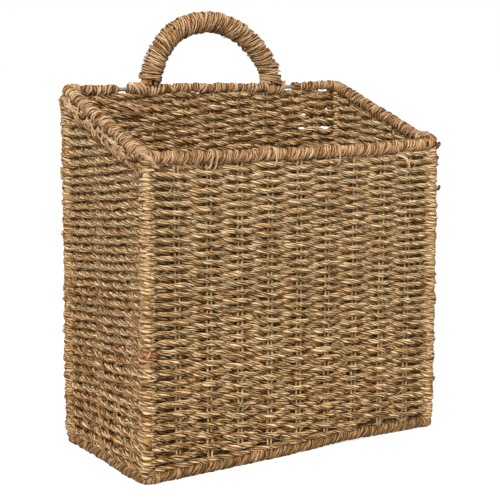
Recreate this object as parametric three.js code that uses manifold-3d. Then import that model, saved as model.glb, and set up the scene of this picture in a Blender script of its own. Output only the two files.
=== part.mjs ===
// Magazine basket: seagrass woven over a steel wire frame, with a sloping rim and a wound arch handle.
// The basket stands on the floor. +Z is up, the low front wall faces -Y, and all lengths are millimetres.

import * as THREE from 'three';
import { mergeVertices } from 'three/addons/utils/BufferGeometryUtils.js';
import Module from 'manifold-3d';

const wasm = await Module();
wasm.setup();

// Driving sizes, measured between the centre lines of the frame's wires
const WIDTH = 330;
const DEPTH = 156;
const FRONT_HEIGHT = 292;
const BACK_HEIGHT = 348;

// Handle arch, measured to its centre line
const HANDLE_HALF_SPAN = 73.5;
const HANDLE_RISE = 68.5;
const HANDLE_RADIUS = 10.25;
const HANDLE_CORE_RADIUS = 6.2;

// Frame wire
const WIRE_RADIUS = 2.25;
const CLEARANCE = 0.3;
const CUT_OVERRUN = 4;

// Rim windings of seagrass blades, wound side by side as one flat band
const RIM_RADIUS = 6.25;
const FOOT_RIM_RADIUS = 6.7;
const FOOT_CUT = 0.5;
const BAND_GAP = 0.65;
const BARE_LEFT_OFFSET = 25.5;
const BARE_LEFT_LENGTH = 11;
const BARE_RIGHT_OFFSET = 19.5;
const BARE_RIGHT_LENGTH = 13;

// Woven walls and floor
const WALL_THICKNESS = 12.4;
const ROW_PITCH = 8.73;
const ROW_GROOVE = 1.5;
const GAP_UNDER_WALLS = 5;
const GAP_OVER_BACK_WALL = 3;
const FLOOR_THICKNESS = 8;
const FLOOR_LIFT = 1.5;

// Corner wraps, where the rows turn round the corner posts
const CORNER_HALF = 6.75;
const CORNER_ROUND = 3.2;
const CORNER_EDGE = 1.6;

// Warps, flat pairs of thin strands that the rows go over and under
const WARP_WIDTH = 8;
const WARP_THICKNESS = 2.2;
const WARP_WAIST = 0.9;
const LONG_WALL_END_WARP_TO_POST = 29;
const SIDE_WALL_END_WARP_TO_POST = 27;

// Counts of warps, of turns and of facets
const LONG_WALL_WARP_COUNT = 9;
const SIDE_WALL_WARP_COUNT = 4;
const FRONT_TURNS = 22;
const SIDE_TURNS = 11;
const BACK_LEFT_TURNS = 2;
const BACK_MIDDLE_TURNS = 13;
const BACK_RIGHT_TURNS = 3;
const FOOT_LONG_TURNS = 15;
const FOOT_SHORT_TURNS = 7;
const HANDLE_TURNS = 22;
const RIM_STEPS = 8;
const FOOT_STEPS = 6;
const HANDLE_STEPS = 8;
const WIRE_SIDES = 8;
const CORE_SIDES = 10;
const ARCH_STEPS = 20;
const PATH_SAMPLES = 400;

// Shares of a band's pitch, of a row's height and of a section
const TAIL_EDGE_SHARE = 0.2;
const CREST_START_SHARE = 0.3;
const CREST_END_SHARE = 0.7;
const WAIST_SHARE = 0.2;

// Places worked out from the sizes above
const HALF_WIDTH = WIDTH / 2;
const HALF_DEPTH = DEPTH / 2;
const FOOT_FLAT_RADIUS = FOOT_RIM_RADIUS * Math.cos(Math.PI / FOOT_STEPS);
const FOOT_WIRE_Z = FOOT_FLAT_RADIUS - FOOT_CUT;
const FRONT_WIRE_Z = FOOT_WIRE_Z + FRONT_HEIGHT;
const BACK_WIRE_Z = FOOT_WIRE_Z + BACK_HEIGHT;
const SLOPE = Math.atan2(BACK_HEIGHT - FRONT_HEIGHT, DEPTH);
const WIRE_HOLE_RADIUS = WIRE_RADIUS + CLEARANCE;
const CORNER_REACH = CORNER_HALF + CLEARANCE;
const RIM_REACH = RIM_RADIUS + CLEARANCE;
const FOOT_REACH = FOOT_RIM_RADIUS + CLEARANCE;
const WALL_BOTTOM_Z = FOOT_WIRE_Z + FOOT_RIM_RADIUS + GAP_UNDER_WALLS;
const WARP_BOTTOM_Z = FOOT_WIRE_Z + FOOT_REACH;

const X_AXIS = new THREE.Vector3(1, 0, 0);
const Y_AXIS = new THREE.Vector3(0, 1, 0);
const Z_AXIS = new THREE.Vector3(0, 0, 1);
const SLOPE_AXIS = new THREE.Vector3(0, Math.cos(SLOPE), Math.sin(SLOPE));
const SLOPE_UP = new THREE.Vector3(0, -Math.sin(SLOPE), Math.cos(SLOPE));

const seagrass = new THREE.MeshStandardMaterial({ color: 0x907451, roughness: 0.82, metalness: 0 });
const paleSeagrass = new THREE.MeshStandardMaterial({ color: 0xa0805d, roughness: 0.8, metalness: 0 });
const warpSeagrass = new THREE.MeshStandardMaterial({ color: 0x6f5636, roughness: 0.85, metalness: 0 });
const wireMetal = new THREE.MeshStandardMaterial({ color: 0x96908a, roughness: 0.45, metalness: 0.9 });

const basket = new THREE.Group();
// The handle stands further back than the front corners stand forward, so the group moves by half of that
basket.position.y = (CORNER_HALF - HANDLE_RADIUS) / 2;

function addPiece(name, geometry, material) {
  const mesh = new THREE.Mesh(geometry, material);
  mesh.name = name;
  basket.add(mesh);
  return mesh;
}

// Solids and cuts

function signedVolume(positions, indices) {
  const a = new THREE.Vector3();
  const b = new THREE.Vector3();
  const c = new THREE.Vector3();
  let volume = 0;
  for (let i = 0; i < indices.length; i += 3) {
    a.fromArray(positions, indices[i] * 3);
    b.fromArray(positions, indices[i + 1] * 3);
    c.fromArray(positions, indices[i + 2] * 3);
    volume += a.dot(b.cross(c)) / 6;
  }
  return volume;
}

// A closed body through a list of rings, each a list of as many points; a loop joins its last ring to its first
function ringBody(rings, isLoop) {
  const count = rings[0].length;
  const positions = rings.flat().flatMap((point) => point.toArray());
  const indices = [];
  const spans = isLoop ? rings.length : rings.length - 1;
  for (let k = 0; k < spans; k += 1) {
    const here = k * count;
    const next = ((k + 1) % rings.length) * count;
    for (let i = 0; i < count; i += 1) {
      const j = (i + 1) % count;
      indices.push(here + i, here + j, next + j, here + i, next + j, next + i);
    }
  }
  if (!isLoop) {
    const last = (rings.length - 1) * count;
    for (let i = 1; i < count - 1; i += 1) {
      indices.push(0, i + 1, i, last, last + i, last + i + 1);
    }
  }
  if (signedVolume(positions, indices) < 0) {
    indices.reverse();
  }
  const geometry = new THREE.BufferGeometry();
  geometry.setAttribute('position', new THREE.Float32BufferAttribute(positions, 3));
  geometry.setIndex(indices);
  return geometry;
}

function toSolid(geometry) {
  const bare = geometry.clone();
  bare.deleteAttribute('normal');
  bare.deleteAttribute('uv');
  const merged = mergeVertices(bare);
  return new wasm.Manifold(new wasm.Mesh({
    numProp: 3,
    vertProperties: new Float32Array(merged.attributes.position.array),
    triVerts: new Uint32Array(merged.index.array),
  }));
}

function toGeometry(solid) {
  const mesh = solid.getMesh();
  const geometry = new THREE.BufferGeometry();
  geometry.setAttribute('position', new THREE.BufferAttribute(new Float32Array(mesh.vertProperties), 3));
  geometry.setIndex(new THREE.BufferAttribute(new Uint32Array(mesh.triVerts), 1));
  return geometry;
}

function cut(geometry, tools) {
  let solid = toSolid(geometry);
  for (const tool of tools) {
    solid = solid.subtract(toSolid(tool));
  }
  return toGeometry(solid);
}

function boxBetween(low, high) {
  const size = new THREE.Vector3().subVectors(high, low);
  const centre = new THREE.Vector3().addVectors(low, high).multiplyScalar(0.5);
  return new THREE.BoxGeometry(size.x, size.y, size.z).translate(centre.x, centre.y, centre.z);
}

function uprightRod(radius, x, y, bottom, top) {
  const height = top - bottom;
  const rod = new THREE.CylinderGeometry(radius, radius, height, WIRE_SIDES);
  return rod.rotateX(Math.PI / 2).translate(x, y, bottom + height / 2);
}

// Wire hoops: a rectangle of round wire with mitred corners, level or sloping up to the back

function wireHoop(radius, frontZ, backZ) {
  const rise = Math.atan2(backZ - frontZ, DEPTH);
  const along = new THREE.Vector3(0, Math.cos(rise), Math.sin(rise));
  const up = new THREE.Vector3(0, -Math.sin(rise), Math.cos(rise));
  const corners = [[-1, -1], [1, -1], [1, 1], [-1, 1]];
  const rings = corners.map(([sideX, sideY]) => {
    const corner = new THREE.Vector3(sideX * HALF_WIDTH, sideY * HALF_DEPTH, sideY > 0 ? backZ : frontZ);
    const outward = new THREE.Vector3(sideX, 0, 0).addScaledVector(along, sideY);
    const ring = [];
    for (let i = 0; i < WIRE_SIDES; i += 1) {
      const angle = (2 * Math.PI * i) / WIRE_SIDES;
      const point = corner.clone().addScaledVector(outward, radius * Math.cos(angle));
      ring.push(point.addScaledVector(up, radius * Math.sin(angle)));
    }
    return ring;
  });
  return ringBody(rings, true);
}

const topHoopHole = wireHoop(WIRE_HOLE_RADIUS, FRONT_WIRE_Z, BACK_WIRE_Z);
const footHoopHole = wireHoop(WIRE_HOLE_RADIUS, FOOT_WIRE_Z, FOOT_WIRE_Z);
addPiece('top_hoop', wireHoop(WIRE_RADIUS, FRONT_WIRE_Z, BACK_WIRE_Z), wireMetal);
addPiece('bottom_hoop', wireHoop(WIRE_RADIUS, FOOT_WIRE_Z, FOOT_WIRE_Z), wireMetal);

// Corner posts and the wraps round them, one at each corner

function cornerWrap(x, y, wireZ) {
  const half = CORNER_HALF;
  const round = CORNER_ROUND;
  const outline = new THREE.Shape();
  outline.moveTo(-half + round, -half);
  outline.lineTo(half - round, -half);
  outline.absarc(half - round, -half + round, round, -Math.PI / 2, 0);
  outline.lineTo(half, half - round);
  outline.absarc(half - round, half - round, round, 0, Math.PI / 2);
  outline.lineTo(-half + round, half);
  outline.absarc(-half + round, half - round, round, Math.PI / 2, Math.PI);
  outline.lineTo(-half, -half + round);
  outline.absarc(-half + round, -half + round, round, Math.PI, 1.5 * Math.PI);
  const height = wireZ + RIM_RADIUS;
  const body = new THREE.ExtrudeGeometry(outline, {
    depth: height - 2 * CORNER_EDGE,
    curveSegments: 2,
    bevelEnabled: true,
    bevelThickness: CORNER_EDGE,
    bevelSize: CORNER_EDGE,
    bevelOffset: -CORNER_EDGE,
    bevelSegments: 1,
  });
  body.translate(x, y, CORNER_EDGE);
  const postHole = uprightRod(WIRE_HOLE_RADIUS, x, y, FOOT_WIRE_Z, wireZ);
  return cut(body, [topHoopHole, footHoopHole, postHole]);
}

const HOOP_HALF_AT_CORNER = WIRE_RADIUS / Math.cos(SLOPE) + WIRE_RADIUS * Math.tan(SLOPE) + CLEARANCE;
for (const [row, sideY, wireZ] of [['front', -1, FRONT_WIRE_Z], ['back', 1, BACK_WIRE_Z]]) {
  for (const [column, sideX] of [['left', -1], ['right', 1]]) {
    const x = sideX * HALF_WIDTH;
    const y = sideY * HALF_DEPTH;
    const post = uprightRod(WIRE_RADIUS, x, y, FOOT_WIRE_Z + WIRE_HOLE_RADIUS, wireZ - HOOP_HALF_AT_CORNER);
    addPiece(`post_${row}_${column}`, post, wireMetal);
    addPiece(`corner_wrap_${row}_${column}`, cornerWrap(x, y, wireZ), seagrass);
  }
}

// Warps: a flat bundle of two strands, waisted between them

function warpGeometry(height) {
  const half = WARP_WIDTH / 2;
  const thick = WARP_THICKNESS / 2;
  const waist = WARP_WAIST / 2;
  const lobe = half - thick;
  const neck = WAIST_SHARE * half;
  const right = [[neck, -waist], [lobe, -thick], [half, 0], [lobe, thick], [neck, waist]];
  const left = right.map(([x, y]) => [-x, -y]);
  const outline = new THREE.Shape([...right, ...left].map(([x, y]) => new THREE.Vector2(x, y)));
  return new THREE.ExtrudeGeometry(outline, { depth: height, bevelEnabled: false });
}

// The warps of a wall stand evenly between its two end warps
function warpPlaces(postSpacing, endToPost, count) {
  const end = postSpacing / 2 - endToPost;
  return Array.from({ length: count }, (_, i) => THREE.MathUtils.lerp(-end, end, i / (count - 1)));
}

const longWallWarps = warpPlaces(WIDTH, LONG_WALL_END_WARP_TO_POST, LONG_WALL_WARP_COUNT);
const sideWallWarps = warpPlaces(DEPTH, SIDE_WALL_END_WARP_TO_POST, SIDE_WALL_WARP_COUNT);

function warpTunnel(place, isLongWall, wallPlace) {
  const across = WARP_WIDTH / 2 + CLEARANCE;
  const deep = WARP_THICKNESS / 2 + CLEARANCE;
  const bottom = WALL_BOTTOM_Z - CUT_OVERRUN;
  const top = BACK_WIRE_Z;
  const low = isLongWall
    ? new THREE.Vector3(place - across, wallPlace - deep, bottom)
    : new THREE.Vector3(wallPlace - deep, place - across, bottom);
  const high = isLongWall
    ? new THREE.Vector3(place + across, wallPlace + deep, top)
    : new THREE.Vector3(wallPlace + deep, place + across, top);
  return boxBetween(low, high);
}

// Woven walls: a slab with one rounded rib for each row that shows, and a tunnel for each warp

function ribbedOutline(height, thickness) {
  const rows = Math.round(height / ROW_PITCH);
  const pitch = height / rows;
  const crest = thickness / 2;
  const valley = crest - ROW_GROOVE;
  const face = [];
  for (let row = 0; row < rows; row += 1) {
    face.push([valley, row * pitch]);
    face.push([crest, (row + CREST_START_SHARE) * pitch]);
    face.push([crest, (row + CREST_END_SHARE) * pitch]);
  }
  face.push([valley, height]);
  const back = face.map(([x, y]) => [-x, y]).reverse();
  return new THREE.Shape([...face, ...back].map(([x, y]) => new THREE.Vector2(x, y)));
}

// An extrusion drawn as (thickness, height) whose length runs along X or along Y
function ribbedSlab(length, height, thickness, isLongWall) {
  const slab = new THREE.ExtrudeGeometry(ribbedOutline(height, thickness), {
    depth: length,
    bevelEnabled: false,
  });
  slab.translate(0, 0, -length / 2);
  const turn = new THREE.Matrix4();
  if (isLongWall) {
    turn.makeBasis(Y_AXIS, Z_AXIS, X_AXIS);
  } else {
    turn.makeBasis(X_AXIS, Z_AXIS, Y_AXIS.clone().negate());
  }
  return slab.applyMatrix4(turn);
}

function longWall(sideY, wireZ, gapOver) {
  const length = WIDTH - 2 * CORNER_REACH;
  const height = wireZ - RIM_RADIUS - gapOver - WALL_BOTTOM_Z;
  const slab = ribbedSlab(length, height, WALL_THICKNESS, true);
  slab.translate(0, sideY * HALF_DEPTH, WALL_BOTTOM_Z);
  const tunnels = longWallWarps.map((x) => warpTunnel(x, true, sideY * HALF_DEPTH));
  return cut(slab, tunnels);
}

function sideWall(sideX) {
  const length = DEPTH - 2 * CORNER_REACH;
  const slab = ribbedSlab(length, BACK_WIRE_Z - WALL_BOTTOM_Z, WALL_THICKNESS, false);
  slab.translate(sideX * HALF_WIDTH, 0, WALL_BOTTOM_Z);
  const cutter = new THREE.BoxGeometry(WALL_THICKNESS + 2 * CUT_OVERRUN, 2 * DEPTH, DEPTH);
  cutter.translate(0, 0, DEPTH / 2 - RIM_REACH);
  cutter.applyMatrix4(new THREE.Matrix4().makeBasis(X_AXIS, SLOPE_AXIS, SLOPE_UP));
  cutter.translate(sideX * HALF_WIDTH, 0, (FRONT_WIRE_Z + BACK_WIRE_Z) / 2);
  const tunnels = sideWallWarps.map((y) => warpTunnel(y, false, sideX * HALF_WIDTH));
  return cut(slab, [cutter, ...tunnels]);
}

addPiece('weave_front', longWall(-1, FRONT_WIRE_Z, CLEARANCE), seagrass);
addPiece('weave_back', longWall(1, BACK_WIRE_Z, GAP_OVER_BACK_WALL), seagrass);
addPiece('weave_left', sideWall(-1), seagrass);
addPiece('weave_right', sideWall(1), seagrass);

// The floor's rows run from left to right
function floorPanel() {
  const outline = ribbedOutline(DEPTH - 2 * FOOT_REACH, FLOOR_THICKNESS);
  const length = WIDTH - 2 * CORNER_REACH;
  const slab = new THREE.ExtrudeGeometry(outline, { depth: length, bevelEnabled: false });
  slab.translate(0, -(HALF_DEPTH - FOOT_REACH), -length / 2);
  slab.applyMatrix4(new THREE.Matrix4().makeBasis(Z_AXIS, Y_AXIS, X_AXIS.clone().negate()));
  return slab.translate(0, 0, FLOOR_LIFT + FLOOR_THICKNESS / 2);
}

addPiece('weave_floor', floorPanel(), seagrass);

function addLongWarps(wall, sideY, wireZ) {
  longWallWarps.forEach((x, i) => {
    const warp = warpGeometry(wireZ - RIM_REACH - WARP_BOTTOM_Z);
    warp.translate(x, sideY * HALF_DEPTH, WARP_BOTTOM_Z);
    addPiece(`warp_${wall}_${i + 1}`, warp, warpSeagrass);
  });
}

function addSideWarps(wall, sideX) {
  sideWallWarps.forEach((y, i) => {
    const wireZ = (FRONT_WIRE_Z + BACK_WIRE_Z) / 2 + y * Math.tan(SLOPE);
    const drop = RIM_REACH / Math.cos(SLOPE) + (WARP_WIDTH / 2) * Math.tan(SLOPE);
    const warp = warpGeometry(wireZ - drop - WARP_BOTTOM_Z);
    warp.rotateZ(Math.PI / 2).translate(sideX * HALF_WIDTH, y, WARP_BOTTOM_Z);
    addPiece(`warp_${wall}_${i + 1}`, warp, warpSeagrass);
  });
}

addLongWarps('front', -1, FRONT_WIRE_Z);
addLongWarps('back', 1, BACK_WIRE_Z);
addSideWarps('left', -1);
addSideWarps('right', 1);

// Windings: one unbroken flat band that spirals along a wire, whose two ends run straight to what they meet

// The least distance between the band and its own turns, measured on corners and edge middles
function leastGap(sections, steps) {
  const clouds = sections.map((section) => section.flatMap((point, i) => {
    const next = section[(i + 1) % section.length];
    return [point, new THREE.Vector3().addVectors(point, next).multiplyScalar(0.5)];
  }));
  let least = Infinity;
  for (let i = 0; i < clouds.length; i += 1) {
    for (let j = i + Math.ceil(0.75 * steps); j < clouds.length; j += 1) {
      for (const p of clouds[i]) {
        for (const q of clouds[j]) {
          least = Math.min(least, p.distanceTo(q));
        }
      }
    }
  }
  return least;
}

function windingBody(name, sections, steps) {
  console.log(`${name}: least gap to itself ${leastGap(sections, steps).toFixed(2)} mm`);
  return ringBody(sections, false);
}

// A band round a straight wire. It starts on the outer side, ends on the inner side, and both ends run
// towards the wall. The edge that faces the other turns is drawn in near each end, to clear them.
function rodWinding(name, { start, axis, inward, toWall, length, turns, steps, radius, tail }) {
  const over = toWall.clone().negate();
  const inner = WIRE_HOLE_RADIUS / Math.cos(Math.PI / steps);
  const pitch = (length + BAND_GAP) / (turns + 1.5);
  const half = (pitch - BAND_GAP) / 2;
  const drawnIn = TAIL_EDGE_SHARE * pitch;
  const last = (turns + 0.5) * steps;
  const quarter = Math.ceil(steps / 4);
  const sections = [];
  for (let k = 0; k <= last; k += 1) {
    const angle = Math.PI - (2 * Math.PI * k) / steps;
    const centre = half + (pitch * k) / steps;
    const nearStart = Math.max(0, 1 - k / quarter);
    const nearEnd = Math.max(0, 1 - (last - k) / quarter);
    const before = centre - THREE.MathUtils.lerp(half, drawnIn, nearEnd);
    const after = centre + THREE.MathUtils.lerp(half, drawnIn, nearStart);
    const out = inward.clone().multiplyScalar(Math.cos(angle)).addScaledVector(over, Math.sin(angle));
    const corner = (s, r) => start.clone().addScaledVector(axis, s).addScaledVector(out, r);
    sections.push([corner(before, inner), corner(after, inner), corner(after, radius), corner(before, radius)]);
  }
  const moved = (section) => section.map((point) => point.clone().addScaledVector(toWall, tail));
  sections.unshift(moved(sections[0]));
  sections.push(moved(sections[sections.length - 1]));
  return windingBody(name, sections, steps);
}

function longRimWinding(name, sideY, wireZ, fromX, toX, turns, tail) {
  return rodWinding(name, {
    start: new THREE.Vector3(fromX, sideY * HALF_DEPTH, wireZ),
    axis: X_AXIS,
    inward: new THREE.Vector3(0, -sideY, 0),
    toWall: Z_AXIS.clone().negate(),
    length: toX - fromX,
    turns,
    steps: RIM_STEPS,
    radius: RIM_RADIUS,
    tail,
  });
}

function sideRimWinding(name, sideX) {
  const endMargin = CORNER_REACH / Math.cos(SLOPE) + RIM_RADIUS * Math.tan(SLOPE);
  const start = new THREE.Vector3(sideX * HALF_WIDTH, -HALF_DEPTH, FRONT_WIRE_Z);
  return rodWinding(name, {
    start: start.addScaledVector(SLOPE_AXIS, endMargin),
    axis: SLOPE_AXIS,
    inward: new THREE.Vector3(-sideX, 0, 0),
    toWall: SLOPE_UP.clone().negate(),
    length: DEPTH / Math.cos(SLOPE) - 2 * endMargin,
    turns: SIDE_TURNS,
    steps: RIM_STEPS,
    radius: RIM_RADIUS,
    tail: RIM_RADIUS,
  });
}

const RIM_END_X = HALF_WIDTH - CORNER_REACH;
const BARE_LEFT_X = -HANDLE_HALF_SPAN - BARE_LEFT_OFFSET;
const BARE_RIGHT_X = HANDLE_HALF_SPAN + BARE_RIGHT_OFFSET;
const BACK_TAIL = RIM_RADIUS + GAP_OVER_BACK_WALL - CLEARANCE;

addPiece('rim_winding_front', longRimWinding(
  'rim_winding_front', -1, FRONT_WIRE_Z, -RIM_END_X, RIM_END_X, FRONT_TURNS, RIM_RADIUS,
), paleSeagrass);
addPiece('rim_winding_left', sideRimWinding('rim_winding_left', -1), paleSeagrass);
addPiece('rim_winding_right', sideRimWinding('rim_winding_right', 1), paleSeagrass);

// The back rim is wound in three stretches, with a short length of bare wire on each side of the handle
addPiece('rim_winding_back_left', longRimWinding(
  'rim_winding_back_left', 1, BACK_WIRE_Z, -RIM_END_X, BARE_LEFT_X - BARE_LEFT_LENGTH, BACK_LEFT_TURNS, BACK_TAIL,
), paleSeagrass);
addPiece('rim_winding_back_right', longRimWinding(
  'rim_winding_back_right', 1, BACK_WIRE_Z, BARE_RIGHT_X + BARE_RIGHT_LENGTH, RIM_END_X, BACK_RIGHT_TURNS, BACK_TAIL,
), paleSeagrass);
// Bottom rim: the basket stands on it, so it is cut flat underneath
function footWinding(name, start, axis, inward, length, turns) {
  const band = rodWinding(name, {
    start,
    axis,
    inward,
    toWall: Z_AXIS,
    length,
    turns,
    steps: FOOT_STEPS,
    radius: FOOT_RIM_RADIUS,
    tail: FOOT_RIM_RADIUS + GAP_UNDER_WALLS - CLEARANCE,
  });
  const below = new THREE.Vector3(-WIDTH, -DEPTH, -CUT_OVERRUN);
  return cut(band, [boxBetween(below, new THREE.Vector3(WIDTH, DEPTH, 0))]);
}

for (const [side, sign] of [['front', -1], ['back', 1]]) {
  const name = `foot_winding_${side}`;
  const start = new THREE.Vector3(-RIM_END_X, sign * HALF_DEPTH, FOOT_WIRE_Z);
  const inward = new THREE.Vector3(0, -sign, 0);
  addPiece(name, footWinding(name, start, X_AXIS, inward, 2 * RIM_END_X, FOOT_LONG_TURNS), paleSeagrass);
}
for (const [side, sign] of [['left', -1], ['right', 1]]) {
  const name = `foot_winding_${side}`;
  const endY = HALF_DEPTH - CORNER_REACH;
  const start = new THREE.Vector3(sign * HALF_WIDTH, -endY, FOOT_WIRE_Z);
  const inward = new THREE.Vector3(-sign, 0, 0);
  addPiece(name, footWinding(name, start, Y_AXIS, inward, 2 * endY, FOOT_SHORT_TURNS), paleSeagrass);
}

// Handle: a half ellipse of wire that rises from the back hoop, a padded core round it, and the winding

// The angle from the foot at which the arch has risen to a height over the hoop
function archAngle(height) {
  return Math.asin(height / HANDLE_RISE);
}

// A path along the arch between two like heights over the hoop, by length: centre, outward normal
function archPath(height) {
  const from = archAngle(height);
  const to = Math.PI - from;
  const lengths = [0];
  const point = (t) => new THREE.Vector3(
    -HANDLE_HALF_SPAN * Math.cos(t), HALF_DEPTH, BACK_WIRE_Z + HANDLE_RISE * Math.sin(t),
  );
  const angleAt = (i) => THREE.MathUtils.lerp(from, to, i / PATH_SAMPLES);
  for (let i = 1; i <= PATH_SAMPLES; i += 1) {
    lengths.push(lengths[i - 1] + point(angleAt(i)).distanceTo(point(angleAt(i - 1))));
  }
  const total = lengths[PATH_SAMPLES];
  const frameAt = (s) => {
    let i = 1;
    while (i < PATH_SAMPLES && lengths[i] < s) {
      i += 1;
    }
    const share = (s - lengths[i - 1]) / (lengths[i] - lengths[i - 1]);
    const t = THREE.MathUtils.lerp(angleAt(i - 1), angleAt(i), share);
    const normal = new THREE.Vector3(-HANDLE_RISE * Math.cos(t), 0, HANDLE_HALF_SPAN * Math.sin(t));
    return { centre: point(t), normal: normal.normalize() };
  };
  return { total, frameAt };
}

function pointRound(path, s, radius, angle) {
  const { centre, normal } = path.frameAt(s);
  centre.addScaledVector(normal, radius * Math.cos(angle));
  return centre.addScaledVector(Y_AXIS, radius * Math.sin(angle));
}

function archTube(height, radius, sides) {
  const path = archPath(height);
  const rings = [];
  for (let k = 0; k <= ARCH_STEPS; k += 1) {
    const ring = [];
    for (let i = 0; i < sides; i += 1) {
      ring.push(pointRound(path, (path.total * k) / ARCH_STEPS, radius, (2 * Math.PI * i) / sides));
    }
    rings.push(ring);
  }
  return ringBody(rings, false);
}

const handleWireHole = archTube(WIRE_HOLE_RADIUS, WIRE_HOLE_RADIUS, WIRE_SIDES);
addPiece('handle_wire', archTube(WIRE_HOLE_RADIUS, WIRE_RADIUS, WIRE_SIDES), wireMetal);

// The arch leans in at its feet, so what stands on the back rim is cut level there
const handleFootCut = boxBetween(
  new THREE.Vector3(-WIDTH, 0, BACK_WIRE_Z - RIM_REACH),
  new THREE.Vector3(WIDTH, DEPTH, BACK_WIRE_Z + RIM_REACH),
);
addPiece('handle_core', cut(
  archTube(RIM_REACH, HANDLE_CORE_RADIUS, CORE_SIDES),
  [handleWireHole, handleFootCut],
), seagrass);

// The handle's wire goes down through the back rim's middle stretch to the hoop
addPiece('rim_winding_back_middle', cut(longRimWinding(
  'rim_winding_back_middle', 1, BACK_WIRE_Z, BARE_LEFT_X, BARE_RIGHT_X, BACK_MIDDLE_TURNS, BACK_TAIL,
), [handleWireHole]), paleSeagrass);

// The band's ends turn on the core's surface, narrow to one blade and run straight down to the rim
const HANDLE_TAIL_HALF = 1.8;
const HANDLE_TAIL_RUN = 4;
const HANDLE_TAIL_TURN = 4.6;
const HANDLE_TAIL_STEPS = 3;

function handleWinding(name) {
  const path = archPath(RIM_REACH);
  const inner = (HANDLE_CORE_RADIUS + CLEARANCE) / Math.cos(Math.PI / HANDLE_STEPS);
  const middle = (inner + HANDLE_RADIUS) / 2;
  const reach = HANDLE_TAIL_RUN + HANDLE_TAIL_TURN;
  const pitch = (path.total - 2 * reach) / HANDLE_TURNS;
  const half = (pitch - BAND_GAP) / 2;
  const last = HANDLE_TURNS * HANDLE_STEPS;
  const angleAt = (k) => (Math.PI * (last - 2 * k)) / HANDLE_STEPS;
  // Each band section is its two edges, as places along the arch and angles round it
  const edges = [];
  for (let k = 0; k <= last; k += 1) {
    const centre = reach + (pitch * k) / HANDLE_STEPS;
    edges.push([[centre - half, angleAt(k)], [centre + half, angleAt(k)]]);
  }
  const tail = [];
  const end = path.total - reach;
  for (let i = 1; i <= HANDLE_TAIL_STEPS; i += 1) {
    const share = i / HANDLE_TAIL_STEPS;
    const heading = (share * Math.PI) / 2;
    const width = THREE.MathUtils.lerp(half, HANDLE_TAIL_HALF, share);
    const along = end + HANDLE_TAIL_TURN * (1 - Math.cos(heading));
    const round = angleAt(last) - (HANDLE_TAIL_TURN * Math.sin(heading)) / middle;
    const alongEdge = width * Math.cos(heading);
    const roundEdge = (width * Math.sin(heading)) / middle;
    tail.push([[along - alongEdge, round - roundEdge], [along + alongEdge, round + roundEdge]]);
  }
  tail.push(tail[tail.length - 1].map(([, angle]) => [path.total, angle]));
  // Half a turn about the arch's crown takes one end into the other
  const turned = ([s, angle]) => [path.total - s, -angle];
  const head = tail.map(([before, after]) => [turned(after), turned(before)]).reverse();
  const sections = [...head, ...edges, ...tail].map(([before, after]) => {
    const lift = 1 / Math.cos((after[1] - before[1]) / 2);
    return [
      pointRound(path, before[0], inner * lift, before[1]),
      pointRound(path, after[0], inner * lift, after[1]),
      pointRound(path, after[0], HANDLE_RADIUS, after[1]),
      pointRound(path, before[0], HANDLE_RADIUS, before[1]),
    ];
  });
  return cut(windingBody(name, sections, HANDLE_STEPS), [handleFootCut]);
}

addPiece('handle_winding', handleWinding('handle_winding'), paleSeagrass);

export default basket;
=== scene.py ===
"""A magazine basket of seagrass rope, woven over a wire frame: its finished surfaces.

Lengths are millimetres in the frame's axes (+Z up, the low front wall faces -Y), and every mesh is
written in metres. Rope, blades and strands are closed tubes: a section carried along a path.
"""

import math

import bpy
import numpy as np
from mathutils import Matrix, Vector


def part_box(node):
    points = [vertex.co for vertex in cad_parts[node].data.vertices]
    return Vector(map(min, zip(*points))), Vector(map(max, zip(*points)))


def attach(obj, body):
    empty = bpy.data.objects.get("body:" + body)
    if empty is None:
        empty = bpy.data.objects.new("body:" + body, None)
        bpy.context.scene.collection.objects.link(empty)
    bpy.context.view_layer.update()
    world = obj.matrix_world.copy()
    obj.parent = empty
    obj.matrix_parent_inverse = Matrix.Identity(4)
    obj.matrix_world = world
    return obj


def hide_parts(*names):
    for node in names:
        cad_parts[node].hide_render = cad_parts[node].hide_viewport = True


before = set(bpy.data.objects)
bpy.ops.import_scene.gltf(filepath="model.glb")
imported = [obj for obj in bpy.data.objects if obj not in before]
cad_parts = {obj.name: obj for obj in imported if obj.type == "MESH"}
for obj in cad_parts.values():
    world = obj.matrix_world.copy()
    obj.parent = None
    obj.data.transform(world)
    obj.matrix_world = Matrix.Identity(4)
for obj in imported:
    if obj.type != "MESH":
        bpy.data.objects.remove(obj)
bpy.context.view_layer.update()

MM = 0.001
rng = np.random.default_rng(20)

# Places read from the frame


def box_mm(node):
    """The lowest and highest corner of a node of the frame, in millimetres."""
    low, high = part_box(node)
    return np.array(low) / MM, np.array(high) / MM


def size_mm(node):
    """A node's width, depth and height in millimetres."""
    low, high = box_mm(node)
    return high - low


def middle(node):
    """The middle of a node's box in millimetres."""
    low, high = box_mm(node)
    return (low + high) / 2


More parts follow.
